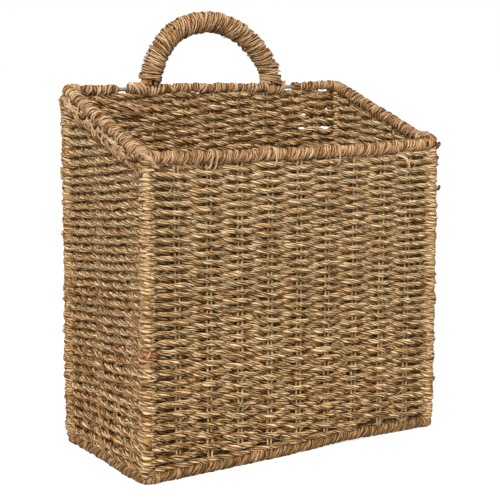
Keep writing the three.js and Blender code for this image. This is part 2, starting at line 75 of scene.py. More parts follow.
CORNERS = ("front_left", "front_right", "back_right", "back_left")
POSTS = {name: middle(f"post_{name}")[:2] for name in CORNERS}
LEFT_X, FRONT_Y = POSTS["front_left"]
RIGHT_X, BACK_Y = POSTS["back_right"]
RIM_RADIUS = size_mm("rim_winding_front")[1] / 2
FRONT_WIRE_Z = box_mm("rim_winding_front")[1][2] - RIM_RADIUS
BACK_WIRE_Z = box_mm("rim_winding_back_middle")[1][2] - RIM_RADIUS
FOOT_WIRE_Z = middle("bottom_hoop")[2]
SLOPE = (BACK_WIRE_Z - FRONT_WIRE_Z) / (BACK_Y - FRONT_Y)
WALL_BOTTOM = box_mm("weave_front")[0][2]
FLOOR_Z = middle("weave_floor")[2]
FLOOR_THICKNESS = size_mm("weave_floor")[2]
CORNER_HALF = size_mm("corner_wrap_front_left")[0] / 2
HANDLE_RADIUS = size_mm("handle_winding")[1] / 2
HANDLE_RISE = box_mm("handle_winding")[1][2] - HANDLE_RADIUS - BACK_WIRE_Z
HANDLE_SPREAD = 2.15
HANDLE_HALF_SPAN = size_mm("handle_winding")[0] / 2 - HANDLE_RADIUS + HANDLE_SPREAD
UP = np.array([0.0, 0.0, 1.0])

# Each wall's warps, its first and last post, the step between points of its rows, and how far these swing out
WALLS = {
    "left": {"warps": 4, "from": "back_left", "to": "front_left", "step": 2.3, "float": 3.5},
    "front": {"warps": 9, "from": "front_left", "to": "front_right", "step": 2.2, "float": 3.4},
    "right": {"warps": 4, "from": "front_right", "to": "back_right", "step": 2.5, "float": 2.9},
    "back": {"warps": 9, "from": "back_right", "to": "back_left", "step": 2.6, "float": 2.3},
}

# Rows of rope: how many, how high they start and end, and what they keep from the rims

FRONT_ROWS = 63
BACK_ROWS = 76
LOWEST_ROWS = 20
LOWEST_ROWS_HIGH = 94
LOWER_SHARE = 0.46
ROW_PITCH = 4.4
ROW_CLEARANCE = 0.2
ROPE_TO_RIM = 2.1
BACK_ROWS_HIGHER = 0.9
LEFT_FILL = 1.13
FLOOR_STEP = 2.8
FLOOR_REACH = 4.5
FLOOR_ROW_PITCH = 4.7

# One rope: the length of its lay, and the section of its two plies, each with four strands as ridges

ROPE_LAY = 23.0
PLY_DEEP = 1.45
PLY_WIDE = 2.45
PLY_OFFSET = 1.15
PLY_SIDES = 8
PLY_RIDGE = 0.2
PLY_GROOVE = 0.28
PLY_BACK_TWIST = -0.27
CROWDED_SHARE = 0.97
FREE_SWING = 6.8

# How the rows turn the corners, and how far the left wall's two layers of rows are apart

SIDE_LAYER = 2.7
CORNER_OUT = 5.0
CORNER_HOLD = 0.5
CORNER_DIP = 8.0
CORNER_DIP_SHARE = 0.75
CORNER_BEND = 9
CORNER_STEPS = 6

# The warps, and the ropes coiled round the posts

WARP_STRAND_RADIUS = 1.2
WARP_STRAND_SPACING = 4.4
WARP_SHOWS = 0.8
WARP_SIDES = 6
WARP_STEP = 3.0
WARP_TWIST = 4.0
WARP_END = 3.0
COIL_PITCH = 4.6
COIL_REACH = 4.5
COIL_BOTTOM = 7.0
COIL_TOP_GAP = 4.0
COIL_LAY = 21.0
COIL_STEPS = 9

# Strands of the windings

BACK_RIM_RADIUS = 5.3
FOOT_RADIUS = RIM_RADIUS - 0.2
KNUCKLE_RADIUS = 6.9
CORNER_REACH = CORNER_HALF + 4.0
CORNER_TURN_RADIUS = 3.0
CORNER_SPACING = 0.8
WOUND_STARTS = 4
WOUND_SPACING = 2.4
WOUND_HALF_WIDTH = 1.12
WOUND_HALF_THICK = 1.0
WOUND_UNDER = 0.2
WOUND_STEPS = 22
WOUND_SIDES = 8
BUNCH_LENGTH = 9.5

# Noise and arrays

SINES = (0.6, 0.85, 1.2, 1.7)
SINE_SUM = 2.2
DARKEST_TONE = 0.02
FIBRE_STARTS = 4000


def wander(along, wavelength, shape=(1,)):
    """A smooth random value along a line, mostly within -1 to 1: four sines near one wavelength, added up.

    shape is the shape of the random phases, which spreads over along.
    """
    total = 0.0
    for octave in SINES:
        stretch = octave * rng.uniform(0.85, 1.15, shape)
        phase = rng.uniform(0, 2 * math.pi, shape)
        total = total + np.sin(2 * math.pi * along * stretch / wavelength + phase)
    return total / SINE_SUM


def eased(at, knots, values):
    """Values at knots joined by half cosines, level at each knot."""
    index = np.clip(np.searchsorted(knots, at) - 1, 0, len(knots) - 2)
    share = np.clip((at - knots[index]) / (knots[index + 1] - knots[index]), 0, 1)
    share = (1 - np.cos(math.pi * share)) / 2
    return values[index] * (1 - share) + values[index + 1] * share


def unit(vectors):
    """The same directions with length 1."""
    return vectors / np.maximum(np.linalg.norm(vectors, axis=-1, keepdims=True), 1e-9)


def cross_axes(path, reference):
    """Two directions of length 1 across a path, of which the first keeps near the reference."""
    tangent = unit(np.gradient(path, axis=-2))
    second = unit(np.cross(tangent, reference))
    return np.cross(second, tangent), second


def circle(sides):
    """Even angles round a section."""
    return 2 * math.pi * np.arange(sides) / sides


def tube(path, first, second, across, through):
    """Rings of a section carried along a path: path + across * first + through * second at each side."""
    return path[:, None] + across[..., None] * first[:, None] + through[..., None] * second[:, None]


def distances(path):
    """How far along a path each of its points lies."""
    return np.append(0, np.cumsum(np.linalg.norm(np.diff(path, axis=0), axis=1)))


def points_at(at, along, path):
    """A path's points at some distances along it."""
    return np.stack([np.interp(at, along, path[:, i]) for i in range(3)], axis=-1)


def evened(path, count):
    """A path again, with its points at even distances."""
    along = distances(path)
    return points_at(np.linspace(0, along[-1], count), along, path)


def rim_z(y):
    """Height of the top hoop's wire, which slopes up to the back, at a place from front to back."""
    return FRONT_WIRE_Z + (y - FRONT_Y) * SLOPE


def wall_line(wall):
    """A wall's first and last post, and the directions along it and outward, all seen from above."""
    start, end = (POSTS[WALLS[wall][key]] for key in ("from", "to"))
    direction = unit(end - start)
    return start, end, direction, np.array([direction[1], -direction[0]])


def near(values, centre, width):
    """A bell that is 1 at the centre and falls off over the width."""
    return np.exp(-((values - centre) / width) ** 2)


def bumps(values, table):
    """Several bells added up: each row of the table is a bell's height, centre and width."""
    return sum(amount * near(values, centre, width) for amount, centre, width in table)


# How far the side walls stand out: heights, and the distance at each
RIGHT_BULGE = ((0, 200, 285, 330), (2.3, 2.1, 0.9, 0.3))
LEFT_BULGE = ((0, 90, 135, 260, 330), (2.3, 2.0, 0.9, 0.3, 0.2))
# How far the bottom rims and the front rim moved, the middle and width of that place, and its height
RIGHT_FOOT_FLARE = 1.3
RIGHT_FOOT_FLARE_HIGH = 12
LEFT_FOOT_BOW = 3.6
LEFT_FOOT_BOW_PLACE = (-48, 38)
LEFT_FOOT_BOW_HIGH = 40
FOOT_LIFT = 2.5
FOOT_LIFT_PLACE = (60, 52)
FOOT_LIFT_HIGH = 22
RIM_SAG = 2.8
RIM_SAG_PLACE = (FRONT_WIRE_Z + 4, 45)
# Where the side walls and the front wall begin, and how wide the change to the next wall is
SIDE_FROM = 140
SIDE_FADE = 22
FRONT_FROM = FRONT_Y + 25
FRONT_FADE = 20


def settled(points):
    """The basket's loss of shape in use, which every piece shares.

    The walls bulge sideways towards the ground, the front rim sags, the left bottom rim bows outward, and
    the front bottom rim is bowed up a little.
    """
    x, y, z = points.T
    at_front = np.clip((FRONT_FROM - y) / FRONT_FADE, 0, 1)
    at_left = np.clip((-SIDE_FROM - x) / SIDE_FADE, 0, 1)
    at_right = np.clip((x - SIDE_FROM) / SIDE_FADE, 0, 1)
    flare = RIGHT_FOOT_FLARE * at_front * np.exp(-z / RIGHT_FOOT_FLARE_HIGH)
    out = at_right * (np.interp(z, *RIGHT_BULGE) + flare)
    out -= at_left * np.interp(z, *LEFT_BULGE)
    out -= LEFT_FOOT_BOW * at_left * near(y, *LEFT_FOOT_BOW_PLACE) * np.exp(-z / LEFT_FOOT_BOW_HIGH)
    sag = RIM_SAG * at_front * np.clip(1 - (x / RIGHT_X) ** 2, 0, 1) * near(z, *RIM_SAG_PLACE)
    lift = FOOT_LIFT * at_front * near(x, *FOOT_LIFT_PLACE) * np.exp(-z / FOOT_LIFT_HIGH)
    return points + np.stack([out, 0 * y, lift - sag], axis=-1)


# Rusty stains: x, y, z, radius, strength
STAINS = np.array([
    (-168, -84, 122, 8.0, 1.0), (-160, -84, 119, 6.0, 0.9), (165, -84, 301, 7.0, 0.8),
    (-90, -84, 252, 4.5, 0.9), (-172, -30, 106, 5.0, 0.8), (-166, -84, 226, 5.0, 0.7),
    (-40, -84, 255, 5.0, 0.5), (88, -84, 160, 5.0, 0.7),
])


def stained(points):
    """How rusty each point is from the few stained places."""
    amount = np.zeros(len(points))
    for x, y, z, radius, strength in STAINS:
        amount += strength * np.exp(-((points - (x, y, z)) ** 2).sum(axis=1) / radius ** 2)
    return amount


class Strands:
    """Closed tubes gathered for one mesh, with each point's tone, tint, painted shade and place along the
    fibre.
    """

    def __init__(self):
        self.points = []
        self.quads = []
        self.values = {"tone": [], "tint": [], "shade": []}
        self.fibres = []
        self.count = 0

    def add(self, rings, tone, tint, shade):
        """rings is steps by sides by 3. Neighbouring rings are joined by quads, and both ends are closed."""
        steps, sides = rings.shape[:2]
        index = self.count + np.arange(steps * sides).reshape(steps, sides)
        turned = np.roll(index, -1, axis=1)
        walls = np.stack([index[:-1], turned[:-1], turned[1:], index[1:]], axis=-1).reshape(-1, 4)
        fan = np.arange(0, sides - 2, 2)
        start = np.stack([0 * fan, fan + 3, fan + 2, fan + 1], axis=-1) % sides
        end = np.stack([0 * fan, fan + 1, fan + 2, fan + 3], axis=-1) % sides
        self.quads += [walls, index[0][start], index[-1][end]]
        self.points.append(rings.reshape(-1, 3))
        limited = (("tone", np.clip(tone, DARKEST_TONE, 1)), ("tint", np.clip(tint, -1, 1)), ("shade", shade))
        for name, value in limited:
            self.values[name].append(np.broadcast_to(value, (steps, sides)).reshape(-1))
        along = distances(rings.mean(axis=1))[:, None] + rng.uniform(0, FIBRE_STARTS)
        angle = circle(sides)[None]
        fibre = np.stack(np.broadcast_arrays(along, np.cos(angle), np.sin(angle)), axis=-1)
        self.fibres.append(fibre.reshape(-1, 3))
        self.count += steps * sides

    def make(self, name, slot, *nodes):
        """The tubes as one piece in its slot's seagrass, which the render shows instead of the nodes."""
        mesh = bpy.data.meshes.new(name)
        points = np.concatenate(self.points)
        self.values["tint"] = [np.clip(np.concatenate(self.values["tint"]) + stained(points), -1, 1)]
        points = settled(points) * MM
        quads = np.concatenate(self.quads)
        mesh.vertices.add(len(points))
        mesh.vertices.foreach_set("co", points.astype(np.float32).ravel())
        mesh.loops.add(quads.size)
        mesh.loops.foreach_set("vertex_index", quads.astype(np.int32).ravel())
        mesh.polygons.add(len(quads))
        mesh.polygons.foreach_set("loop_start", np.arange(0, quads.size, 4, dtype=np.int32))
        mesh.update(calc_edges=True)
        mesh.polygons.foreach_set("use_smooth", np.ones(len(quads), bool))
        for key, parts in self.values.items():
            attribute = mesh.attributes.new(key, "FLOAT", "POINT")
            attribute.data.foreach_set("value", np.concatenate(parts).astype(np.float32))
        fibre = mesh.attributes.new("fibre", "FLOAT_VECTOR", "POINT")
        fibre.data.foreach_set("vector", np.concatenate(self.fibres).astype(np.float32).ravel())
        mesh.materials.append(SEAGRASS[slot])
        piece = bpy.data.objects.new(name, mesh)
        bpy.context.scene.collection.objects.link(piece)
        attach(piece, "root")
        if nodes:
            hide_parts(*nodes)


# Shader maths


class Value:
    """A shader socket on which + - and * add Math nodes."""

    def __init__(self, graph, socket):
        self.graph = graph
        self.socket = socket

    def math(self, operation, first, second):
        """A Math node with two inputs."""
        return self.graph.node("ShaderNodeMath", {"operation": operation}, [first, second])

    def __add__(self, other):
        return self.math("ADD", self, other)

    def __sub__(self, other):
        return self.math("SUBTRACT", self, other)

    def __rsub__(self, other):
        return self.math("SUBTRACT", other, self)

    def __mul__(self, other):
        return self.math("MULTIPLY", self, other)


class Graph:
    """The nodes of a material or a world."""

    def __init__(self, owner):
        self.owner = owner
        owner.use_nodes = True
        self.tree = owner.node_tree
        self.tree.nodes.clear()

    def node(self, kind, settings=(), inputs=(), output=0):
        """Adds any node from its type, its settings and the values of its sockets, and gives one output."""
        node = self.tree.nodes.new(kind)
        for key, value in dict(settings).items():
            if key == "stops":
                self.set_stops(node.color_ramp, value)
            else:
                setattr(node, key, value)
        pairs = inputs.items() if isinstance(inputs, dict) else enumerate(inputs)
        for key, value in pairs:
            if isinstance(value, Value):
                self.tree.links.new(value.socket, node.inputs[key])
            elif value is not None:
                node.inputs[key].default_value = value
        return Value(self, node.outputs[output]) if node.outputs else node

    @staticmethod
    def set_stops(ramp, stops):
        """Gives a colour ramp its places and colours."""
        while len(ramp.elements) < len(stops):
            ramp.elements.new(1.0)
        for element, (place, colour) in zip(ramp.elements, stops):
            element.position = place
            element.color = (*colour, 1.0)

    def attribute(self, name, output="Fac"):
        """A value that the mesh has at each point."""
        return self.node("ShaderNodeAttribute", {"attribute_name": name}, output=output)

    def mix(self, factor, first, second, blend="MIX"):
        """Two colours mixed. Sockets 6 and 7 are the node's colour inputs, and output 2 its colour."""
        settings = {"data_type": "RGBA", "blend_type": blend, "clamp_factor": True}
        return self.node("ShaderNodeMix", settings, {0: factor, 6: first, 7: second}, output=2)

    def limited(self, value, low, high, to_low=0.0, to_high=1.0):
        """A value mapped from one range to another and kept within it."""
        settings = {"clamp": True}
        return self.node("ShaderNodeMapRange", settings, [value, low, high, to_low, to_high])

    def seen(self):
        """1 for rays by which the camera sees something, directly or in gloss or glass, and 0 for light."""
        rays = [self.node("ShaderNodeLightPath", output=f"Is {kind} Ray") for kind in
                ("Camera", "Glossy", "Transmission")]
        return rays[0] + rays[1] + rays[2]

    def surface(self, shader, output="ShaderNodeOutputMaterial"):
        """Joins a shader to the output, and gives the finished material or world."""
        self.node(output, inputs={"Surface": shader})
        return self.owner


def srgb(red, green, blue):
    """A colour of 0 to 255, as the linear values that a shader takes."""
    values = np.array([red, green, blue]) / 255
    return tuple(np.where(values <= 0.04045, values / 12.92, ((values + 0.055) / 1.055) ** 2.4).tolist())


RUST = (*srgb(186, 116, 74), 1.0)
OLIVE = (*srgb(132, 122, 84), 1.0)
STEEL = (*srgb(170, 162, 150), 1.0)
STEEL_SPOT = (*srgb(126, 118, 104), 1.0)


# Painted shade in the grooves: what a groove's depth does to the colour of its seagrass, from the bottom of
# the groove to the open surface
PAINTED_GROOVE_SHADE_STOPS = ((0.0, (0.08, 0.045, 0.01)), (0.28, (0.55, 0.43, 0.26)), (0.48, (0.98, 0.94, 0.86)),
                (1.0, (1.0, 1.0, 1.0)))
STREAK_STRETCH = (0.03, 1.0, 1.0)
BLOTCH_STRETCH = (0.11, 0.35, 0.35)


def seagrass_material(name, dark, tan, straw, streaky):
    """Dried seagrass: tone runs from a dark to a straw blade, tint leans to rust or olive, and streaks run
    along the
    fibre. shade is painted shade: it darkens and warms the grooves between strands and fine lines along the
    fibre."""
    graph = Graph(bpy.data.materials.new(name))
    tone, tint, shade = (graph.attribute(key) for key in ("tone", "tint", "shade"))
    fibre = graph.attribute("fibre", "Vector")
    stretched = graph.node("ShaderNodeVectorMath", {"operation": "MULTIPLY"}, [fibre, STREAK_STRETCH])
    streaks = graph.node("ShaderNodeTexNoise", {}, {
        "Vector": stretched, "Scale": 2.2, "Detail": 3.0, "Roughness": 0.62})
    blotch_place = graph.node("ShaderNodeVectorMath", {"operation": "MULTIPLY"}, [fibre, BLOTCH_STRETCH])
    blotches = graph.node("ShaderNodeTexNoise", {}, {"Vector": blotch_place, "Scale": 1.0, "Detail": 2.0})
    lightness = graph.limited(tone + (streaks - 0.5) * streaky + (blotches - 0.5) * 0.5, 0.0, 1.0)
    stops = ((0.0, srgb(*dark)), (0.5, srgb(*tan)), (1.0, srgb(*straw)))
    colour = graph.node("ShaderNodeValToRGB", {"stops": stops}, [lightness])
    rust = graph.limited(tint, 0.1, 1.0, 0.0, 0.7)
    olive = graph.limited(0.0 - tint, 0.1, 1.0, 0.0, 0.45)
    colour = graph.mix(rust, colour, RUST)
    colour = graph.mix(olive, colour, OLIVE)
    # Painted shade: fine dark lines where the streaks are low, and the grooves from shade, darken and warm
    # the colour
    lines = graph.limited(streaks, 0.36, 0.42, 0.5, 0.0)
    openness = graph.limited(shade - lines, 0.0, 1.0)
    painted_groove_shade = graph.node("ShaderNodeValToRGB", {"stops": PAINTED_GROOVE_SHADE_STOPS}, [openness])
    colour = graph.mix(1.0, colour, painted_groove_shade, "MULTIPLY")
    bump = graph.node("ShaderNodeBump", {}, {"Strength": 1.0, "Distance": 0.002, "Height": streaks})
    rough = graph.limited(streaks, 0.3, 0.7, 0.78, 0.6)
    shader = graph.node("ShaderNodeBsdfPrincipled", {}, {
        "Base Color": colour, "Roughness": rough, "Specular IOR Level": 0.1, "Normal": bump})
    return graph.surface(shader)


def wire_material():
    """Dull steel wire with fine drawing lines and a few darker spots."""
    graph = Graph(bpy.data.materials.new("frame_wire_steel"))
    place = graph.node("ShaderNodeTexCoord", output="Object")
    spots = graph.node("ShaderNodeTexNoise", {}, {"Vector": place, "Scale": 240.0, "Detail": 3.0})
    colour = graph.mix(spots, STEEL, STEEL_SPOT)
    bump = graph.node("ShaderNodeBump", {}, {"Strength": 0.2, "Distance": 0.0002, "Height": spots})
    shader = graph.node("ShaderNodeBsdfPrincipled", {}, {
        "Base Color": colour, "Metallic": 0.8, "Roughness": graph.limited(spots, 0.3, 0.7, 0.35, 0.55),
        "Normal": bump})
    return graph.surface(shader)


# Each slot's seagrass: its name, its dark, tan and straw blades, and how streaky they are
LOOKS = {
    "seagrass_weave": ("seagrass_rope", (152, 109, 52), (248, 211, 163), (255, 232, 190), 1.8),
    "seagrass_winding": ("seagrass_blades", (134, 92, 46), (224, 181, 138), (252, 224, 184), 2.0),
    "seagrass_warp": ("seagrass_warps", (136, 100, 54), (224, 186, 132), (250, 224, 176), 2.0),
}
SEAGRASS = {slot: seagrass_material(*look) for slot, look in LOOKS.items()}

# The weft: rows of two-ply rope round the basket, outside and inside the warps by turns


def warp_places(wall):
    """Distances of a wall's warps from its first post, read from the frame's warps."""
    start, _, direction, _ = wall_line(wall)
    places = [(middle(f"warp_{wall}_{i + 1}")[:2] - start) @ direction for i in range(WALLS[wall]["warps"])]
    return np.sort(places)


def loop_line():
    """One turn round the basket at the posts: base points, outward normals, and the offset of an even and
    an odd row at each. A row is outside at every corner, and changes sides from warp to warp."""
    bases, normals, evens, odds, marks = [], [], [], [], []
    warp_count = 0
    for wall, facts in WALLS.items():
        start, end, direction, outward = wall_line(wall)
        length = np.linalg.norm(end - start)
        steps = round(length / facts["step"])
        along = np.linspace(0, length, steps + 1)
        places = warp_places(wall)
        knots = np.concatenate([[0, CORNER_HOLD, CORNER_DIP], places,
                                [length - CORNER_DIP, length - CORNER_HOLD, length]])
        signs = (-1.0) ** (warp_count + np.arange(len(places)))
        layer = SIDE_LAYER if wall == "left" else 0.0
        for offsets, sign in ((evens, 1), (odds, -1)):
            ends = [CORNER_OUT, CORNER_OUT]
            swing = sign * (layer + (facts["float"] - layer) * signs)
            dips = CORNER_DIP_SHARE * swing[[0, -1]]
            offsets.append(eased(along, knots, np.concatenate([ends, dips[:1], swing, dips[1:], ends])))
        bases.append(start + along[:, None] * direction)
        normals.append(np.broadcast_to(outward, (steps + 1, 2)))
        marks += [wall] * (steps + 1)
        warp_count += len(places)
        turn = np.radians(np.linspace(0, 90, CORNER_STEPS))[1:-1]
        arc = np.cos(turn)[:, None] * outward + np.sin(turn)[:, None] * direction
        bases.append(np.broadcast_to(end, arc.shape))
        normals.append(arc)
        evens.append(np.full(len(arc), CORNER_OUT))
        odds.append(np.full(len(arc), CORNER_OUT))
        marks += [facts["to"]] * len(arc)
    bases.append(bases[0][:1])
    normals.append(normals[0][:1])
    evens.append(evens[0][:1])
    odds.append(odds[0][:1])
    marks.append(facts["to"])
    joined = [np.concatenate(part) for part in (bases, normals, evens, odds)]
    return (*joined, np.array(marks))


def row_height(row):
    """Rows are a little wider apart in the lowest third, and even above it up to each rim."""
    first = WALL_BOTTOM + ROPE_TO_RIM
    front_last = FRONT_WIRE_Z - RIM_RADIUS - ROPE_TO_RIM
    back_last = BACK_WIRE_Z - BACK_RIM_RADIUS - ROPE_TO_RIM + BACK_ROWS_HIGHER
    return np.interp(row, [0, LOWEST_ROWS, FRONT_ROWS - 1, BACK_ROWS - 1],
                     [first, first + LOWEST_ROWS_HIGH, front_last, back_last])


# How far rows stand off the level: at the back left post, and at distances past the front left post
BACK_LEFT_DROP = -8.0
FRONT_LEFT_RISE = ((0, 60, 150), (11.0, 7.0, 3.0))
# The height over which that grows from the ground up, and over which the drop fades below the back rim
RISE_GROWS = 55
DROP_FADES = 70


def row_rise(along, marks, height):
    """How far the rows stand above the level: they climb along the left wall towards the front."""
    corner = {name: along[marks == name].mean() for name in CORNERS[:3]}
    past, rises = FRONT_LEFT_RISE
    climb = [corner["front_left"] + place for place in past]
    knots = [0, *climb, corner["front_right"], corner["back_right"], along[-1]]
    tilt = np.interp(along, knots, [BACK_LEFT_DROP, *rises, 0.0, 0.0, BACK_LEFT_DROP])
    under_rim = np.where(tilt < 0, np.clip((BACK_WIRE_Z - height) / DROP_FADES, 0, 1), 1.0)
    return tilt * (1 - np.exp(-height / RISE_GROWS)) * under_rim


# Places where rows of the back wall stand apart: x, z, half width, how far the rows move
SLOTS = ((152, 328, 4, 3.0), (120, 323, 4, 2.6), (149, 319, 6, 2.8), (117, 310, 6, 2.8), (147, 310, 8, 3.0),
         (-16, 349, 6, 1.8), (31, 349, 8, 1.6), (67, 349, 4, 1.4), (143, 349, 14, 3.0))
SLOT_FADE_ROWS = 1.7


def row_parting(x, height, marks):
    """How far rows move up or down, away from the slots between them."""
    moved = np.zeros(height.shape)
    row = np.arange(len(height))[:, None]
    for place, level, half_width, amount in SLOTS:
        at = np.argmin(np.where(marks == "back", np.abs(x - place), np.inf))
        beyond = row - np.sum(height[:, at] < level) + 0.5
        fade = np.exp(-np.abs(beyond) / SLOT_FADE_ROWS)
        moved += amount * near(x, place, half_width) * np.sign(beyond) * fade
    return moved * (marks == "back")


CROSSING_SCATTER = 1.6
CORNER_SCATTER_OUT = 0.75
CORNER_SCATTER_UP = 0.4
LEFT_WAVE = 0.42
BACK_COVER_SHADE_SHARE = 0.35


def weft_centres():
    """Centre lines of all the rows, rows by points by 3, with what each point tells of the rope there.

    free is how freely the rope lies, fill how thick it is, marks the name of its wall or post, covered the
    direction in which other rows hide it, and bend how near it is to a post.
    """
    base, normal, even, odd, marks = loop_line()
    rows = BACK_ROWS
    row = np.arange(rows)[:, None]
    along = distances(base + normal * CORNER_OUT)[None]
    crossing = along + CROSSING_SCATTER * wander(along, 45.0, (rows, 1))
    offset = np.stack([np.interp(crossing[i], along[0], odd if i % 2 else even) for i in range(rows)])
    free = np.clip(np.abs(even - odd)[None] / FREE_SWING, 0, 1) * np.ones((rows, 1))
    offset = offset * (1 + 0.1 * wander(along, 23.0, (rows, 1))) + 0.35 * wander(along, 60.0, (rows, 1))
    bend = np.maximum.reduce([near(along[0], along[0][marks == name].mean(), CORNER_BEND) for name in POSTS])
    loose = (marks == "left") * (1 - bend)
    offset = offset + CORNER_SCATTER_OUT * rng.normal(size=(rows, 1)) * bend
    offset = offset + LEFT_WAVE * loose * wander(along, 13.0, (rows, 1))
    shared = np.sin(along / 47.0 + row * 0.11) * np.sin(along / 81.0 - row * 0.07 + 1.3)
    quiet = np.interp(row, [0, 3, FRONT_ROWS - 4, FRONT_ROWS, rows - 3, rows - 1], [0.3, 1, 1, 0.4, 1, 0.3])
    level = row_height(row) - 0.9 * np.exp(-row / 3)
    height = level + quiet * (1.0 * shared + 0.33 * wander(along, 26.0, (rows, 1)))
    height = height + row_rise(along[0], marks, level) + CORNER_SCATTER_UP * rng.normal(size=(rows, 1)) * bend
    height = height + LEFT_WAVE * loose * wander(along, 15.0, (rows, 1))
    height = height + row_parting(base[:, 0], height, marks)
    pitch = np.gradient(level, axis=0) + 0 * height
    fill = np.clip(np.minimum(np.gradient(height, axis=0), 1.12 * pitch) / ROW_PITCH, 0.92, 1.3)
    fill = fill * np.where(marks == "left", LEFT_FILL, 1.0)
    fill = fill * (1 - 0.018 * offset * ((marks == "front") | (marks == "left")))
    flat = base[None] + normal[None] * offset[..., None]
    centres = np.concatenate([flat, height[..., None]], axis=-1)
    outward = np.concatenate([normal, 0 * normal[:, :1]], axis=-1)
    # The side of a row that other rows cover gets painted shade, less of it on the back wall
    much = np.where(marks == "back", BACK_COVER_SHADE_SHARE, 1.0)
    covered = -(much * np.clip(offset / 3.0, -1, 1))[..., None] * outward[None]
    return centres, free, fill, along, marks, covered, bend


def rope_rings(centre, reference, free, along, lay_turns, fill, covered=None):
    """Rings of a rope's two plies, with the painted shade and the tone of each ply's strands, which stand out
    as ridges.

    Each ply winds round the centre line c: p = c + reach * out + deep * cos(f) * out + wide * sin(f) * turn,
    where out turns with the lay. It is wider than deep, so that the two plies fill a nearly round rope.
    covered is the direction in which other rows cover this one, as long as they cover it much; the side that
    faces it is painted in shade.
    """
    up, side = cross_axes(centre, reference)
    size = 1 + 0.03 * rng.normal() + 0.06 * wander(along, 40.0)
    size = (CROWDED_SHARE + (1 - CROWDED_SHARE) * free) * size * fill
    twist = 2 * math.pi * (lay_turns + 0.08 * wander(along, 30.0))
    strand_count = PLY_SIDES // 2
    plies = []
    for ply in range(2):
        angle = twist + math.pi * ply
        out = np.cos(angle)[:, None] * up + np.sin(angle)[:, None] * side
        turn = np.cos(angle)[:, None] * side - np.sin(angle)[:, None] * up
        reach = PLY_OFFSET * size * (1 + 0.1 * wander(along, 12.0))
        core = centre + reach[:, None] * out
        at = circle(PLY_SIDES) - (1 + PLY_BACK_TWIST) * twist[:, None]
        ridge = 1 + PLY_RIDGE * (1 + 0.7 * wander(along[:, None], 17.0, (1, strand_count)))
        groove = np.full(ridge.shape, 1 - PLY_GROOVE)
        swell = (size * (1 + 0.1 * wander(along, 13.0)))[:, None] * woven(ridge, groove)
        rings = tube(core, out, turn, PLY_DEEP * swell * np.cos(at), PLY_WIDE * swell * np.sin(at))
        # Painted shade: darker on each ply's side towards the rope's centre and towards the next rows, nearly
        # black in the grooves between strands, and darker on the side that other rows cover
        between_rows = np.abs(rings[..., 2] - centre[:, None, 2]) / (PLY_WIDE * size[:, None])
        lit = np.clip(0.94 + 0.6 * np.cos(at), 0.2, 1) * (1 - 0.3 * np.clip(between_rows - 0.5, 0, 0.5) / 0.5)
        shade = lit * np.where(np.arange(PLY_SIDES) % 2 == 0, 1.0, 0.04)
        if covered is not None:
            facing = np.einsum("ijk,ik->ij", rings - centre[:, None], covered) / (PLY_OFFSET + PLY_DEEP)
            shade = shade * (1 - 0.42 * np.clip(facing + 0.1, 0, 1))
        # Each strand's tone varies at random; the grooves between strands are painted 0.2 darker as shade,
        # and each ply's outward side is painted lighter as a highlight
        strand = rng.normal(0, 0.1, strand_count) + 0.26 * wander(along[:, None], 30.0, (1, strand_count))
        between = (strand + np.roll(strand, -1, axis=1)) / 2 - 0.2
        plies.append((rings, shade, woven(strand, between) + 0.1 * np.cos(at)))
    return plies


def woven(first, second):
    """Two arrays' columns by turns: the first's column 0, the second's column 0, the first's column 1, ..."""
    return np.stack([first, second], axis=-1).reshape(len(first), -1)


def strand_tone(along):
    """Tone and tint along a strand: changes from blade to blade, and now and then rust or olive."""
    tone = 0.57 + 0.07 * rng.normal() + 0.12 * wander(along, 40.0) + 0.05 * wander(along, 12.0)
    tint = 1.2 * np.clip(wander(along, 34.0) - 0.75, 0, 1)
    tint = tint - 1.1 * np.clip(wander(along, 80.0) - 0.35, 0, 1)
    return tone, np.clip(tint, -1, 1)


def lay_rope(strands, centre, reference, free, along, lay_turns, fill=1.0, lighter=0.0, lit=1.0):
    """Adds one whole rope along a centre line. lighter shifts its tone, and lit scales its painted shade."""
    for rings, shade, ridge_tone_and_painted_light in rope_rings(centre, reference, free, along, lay_turns, fill):
        tone, tint = strand_tone(along)
        strands.add(rings, tone[:, None] + ridge_tone_and_painted_light + lighter, tint[:, None], lit * shade)


# Painted light and shade on the rope's tone: it gets lighter with height, and more so on the left wall
# towards the front; the back wall is painted darker as shade, and the rows at the posts lighter. The left
# wall and the corners are also tinted more rusty.
PAINTED_LIGHT_HEIGHT = 290
PAINTED_LIGHT_FROM_SHARE = 0.4
PAINTED_LIGHT_GAIN = 0.38
BACK_PAINTED_SHADE = 0.4
LEFT_RUSTIER = 0.4
CORNER_RUSTIER = 0.2
CORNER_PAINTED_LIGHT = 0.08


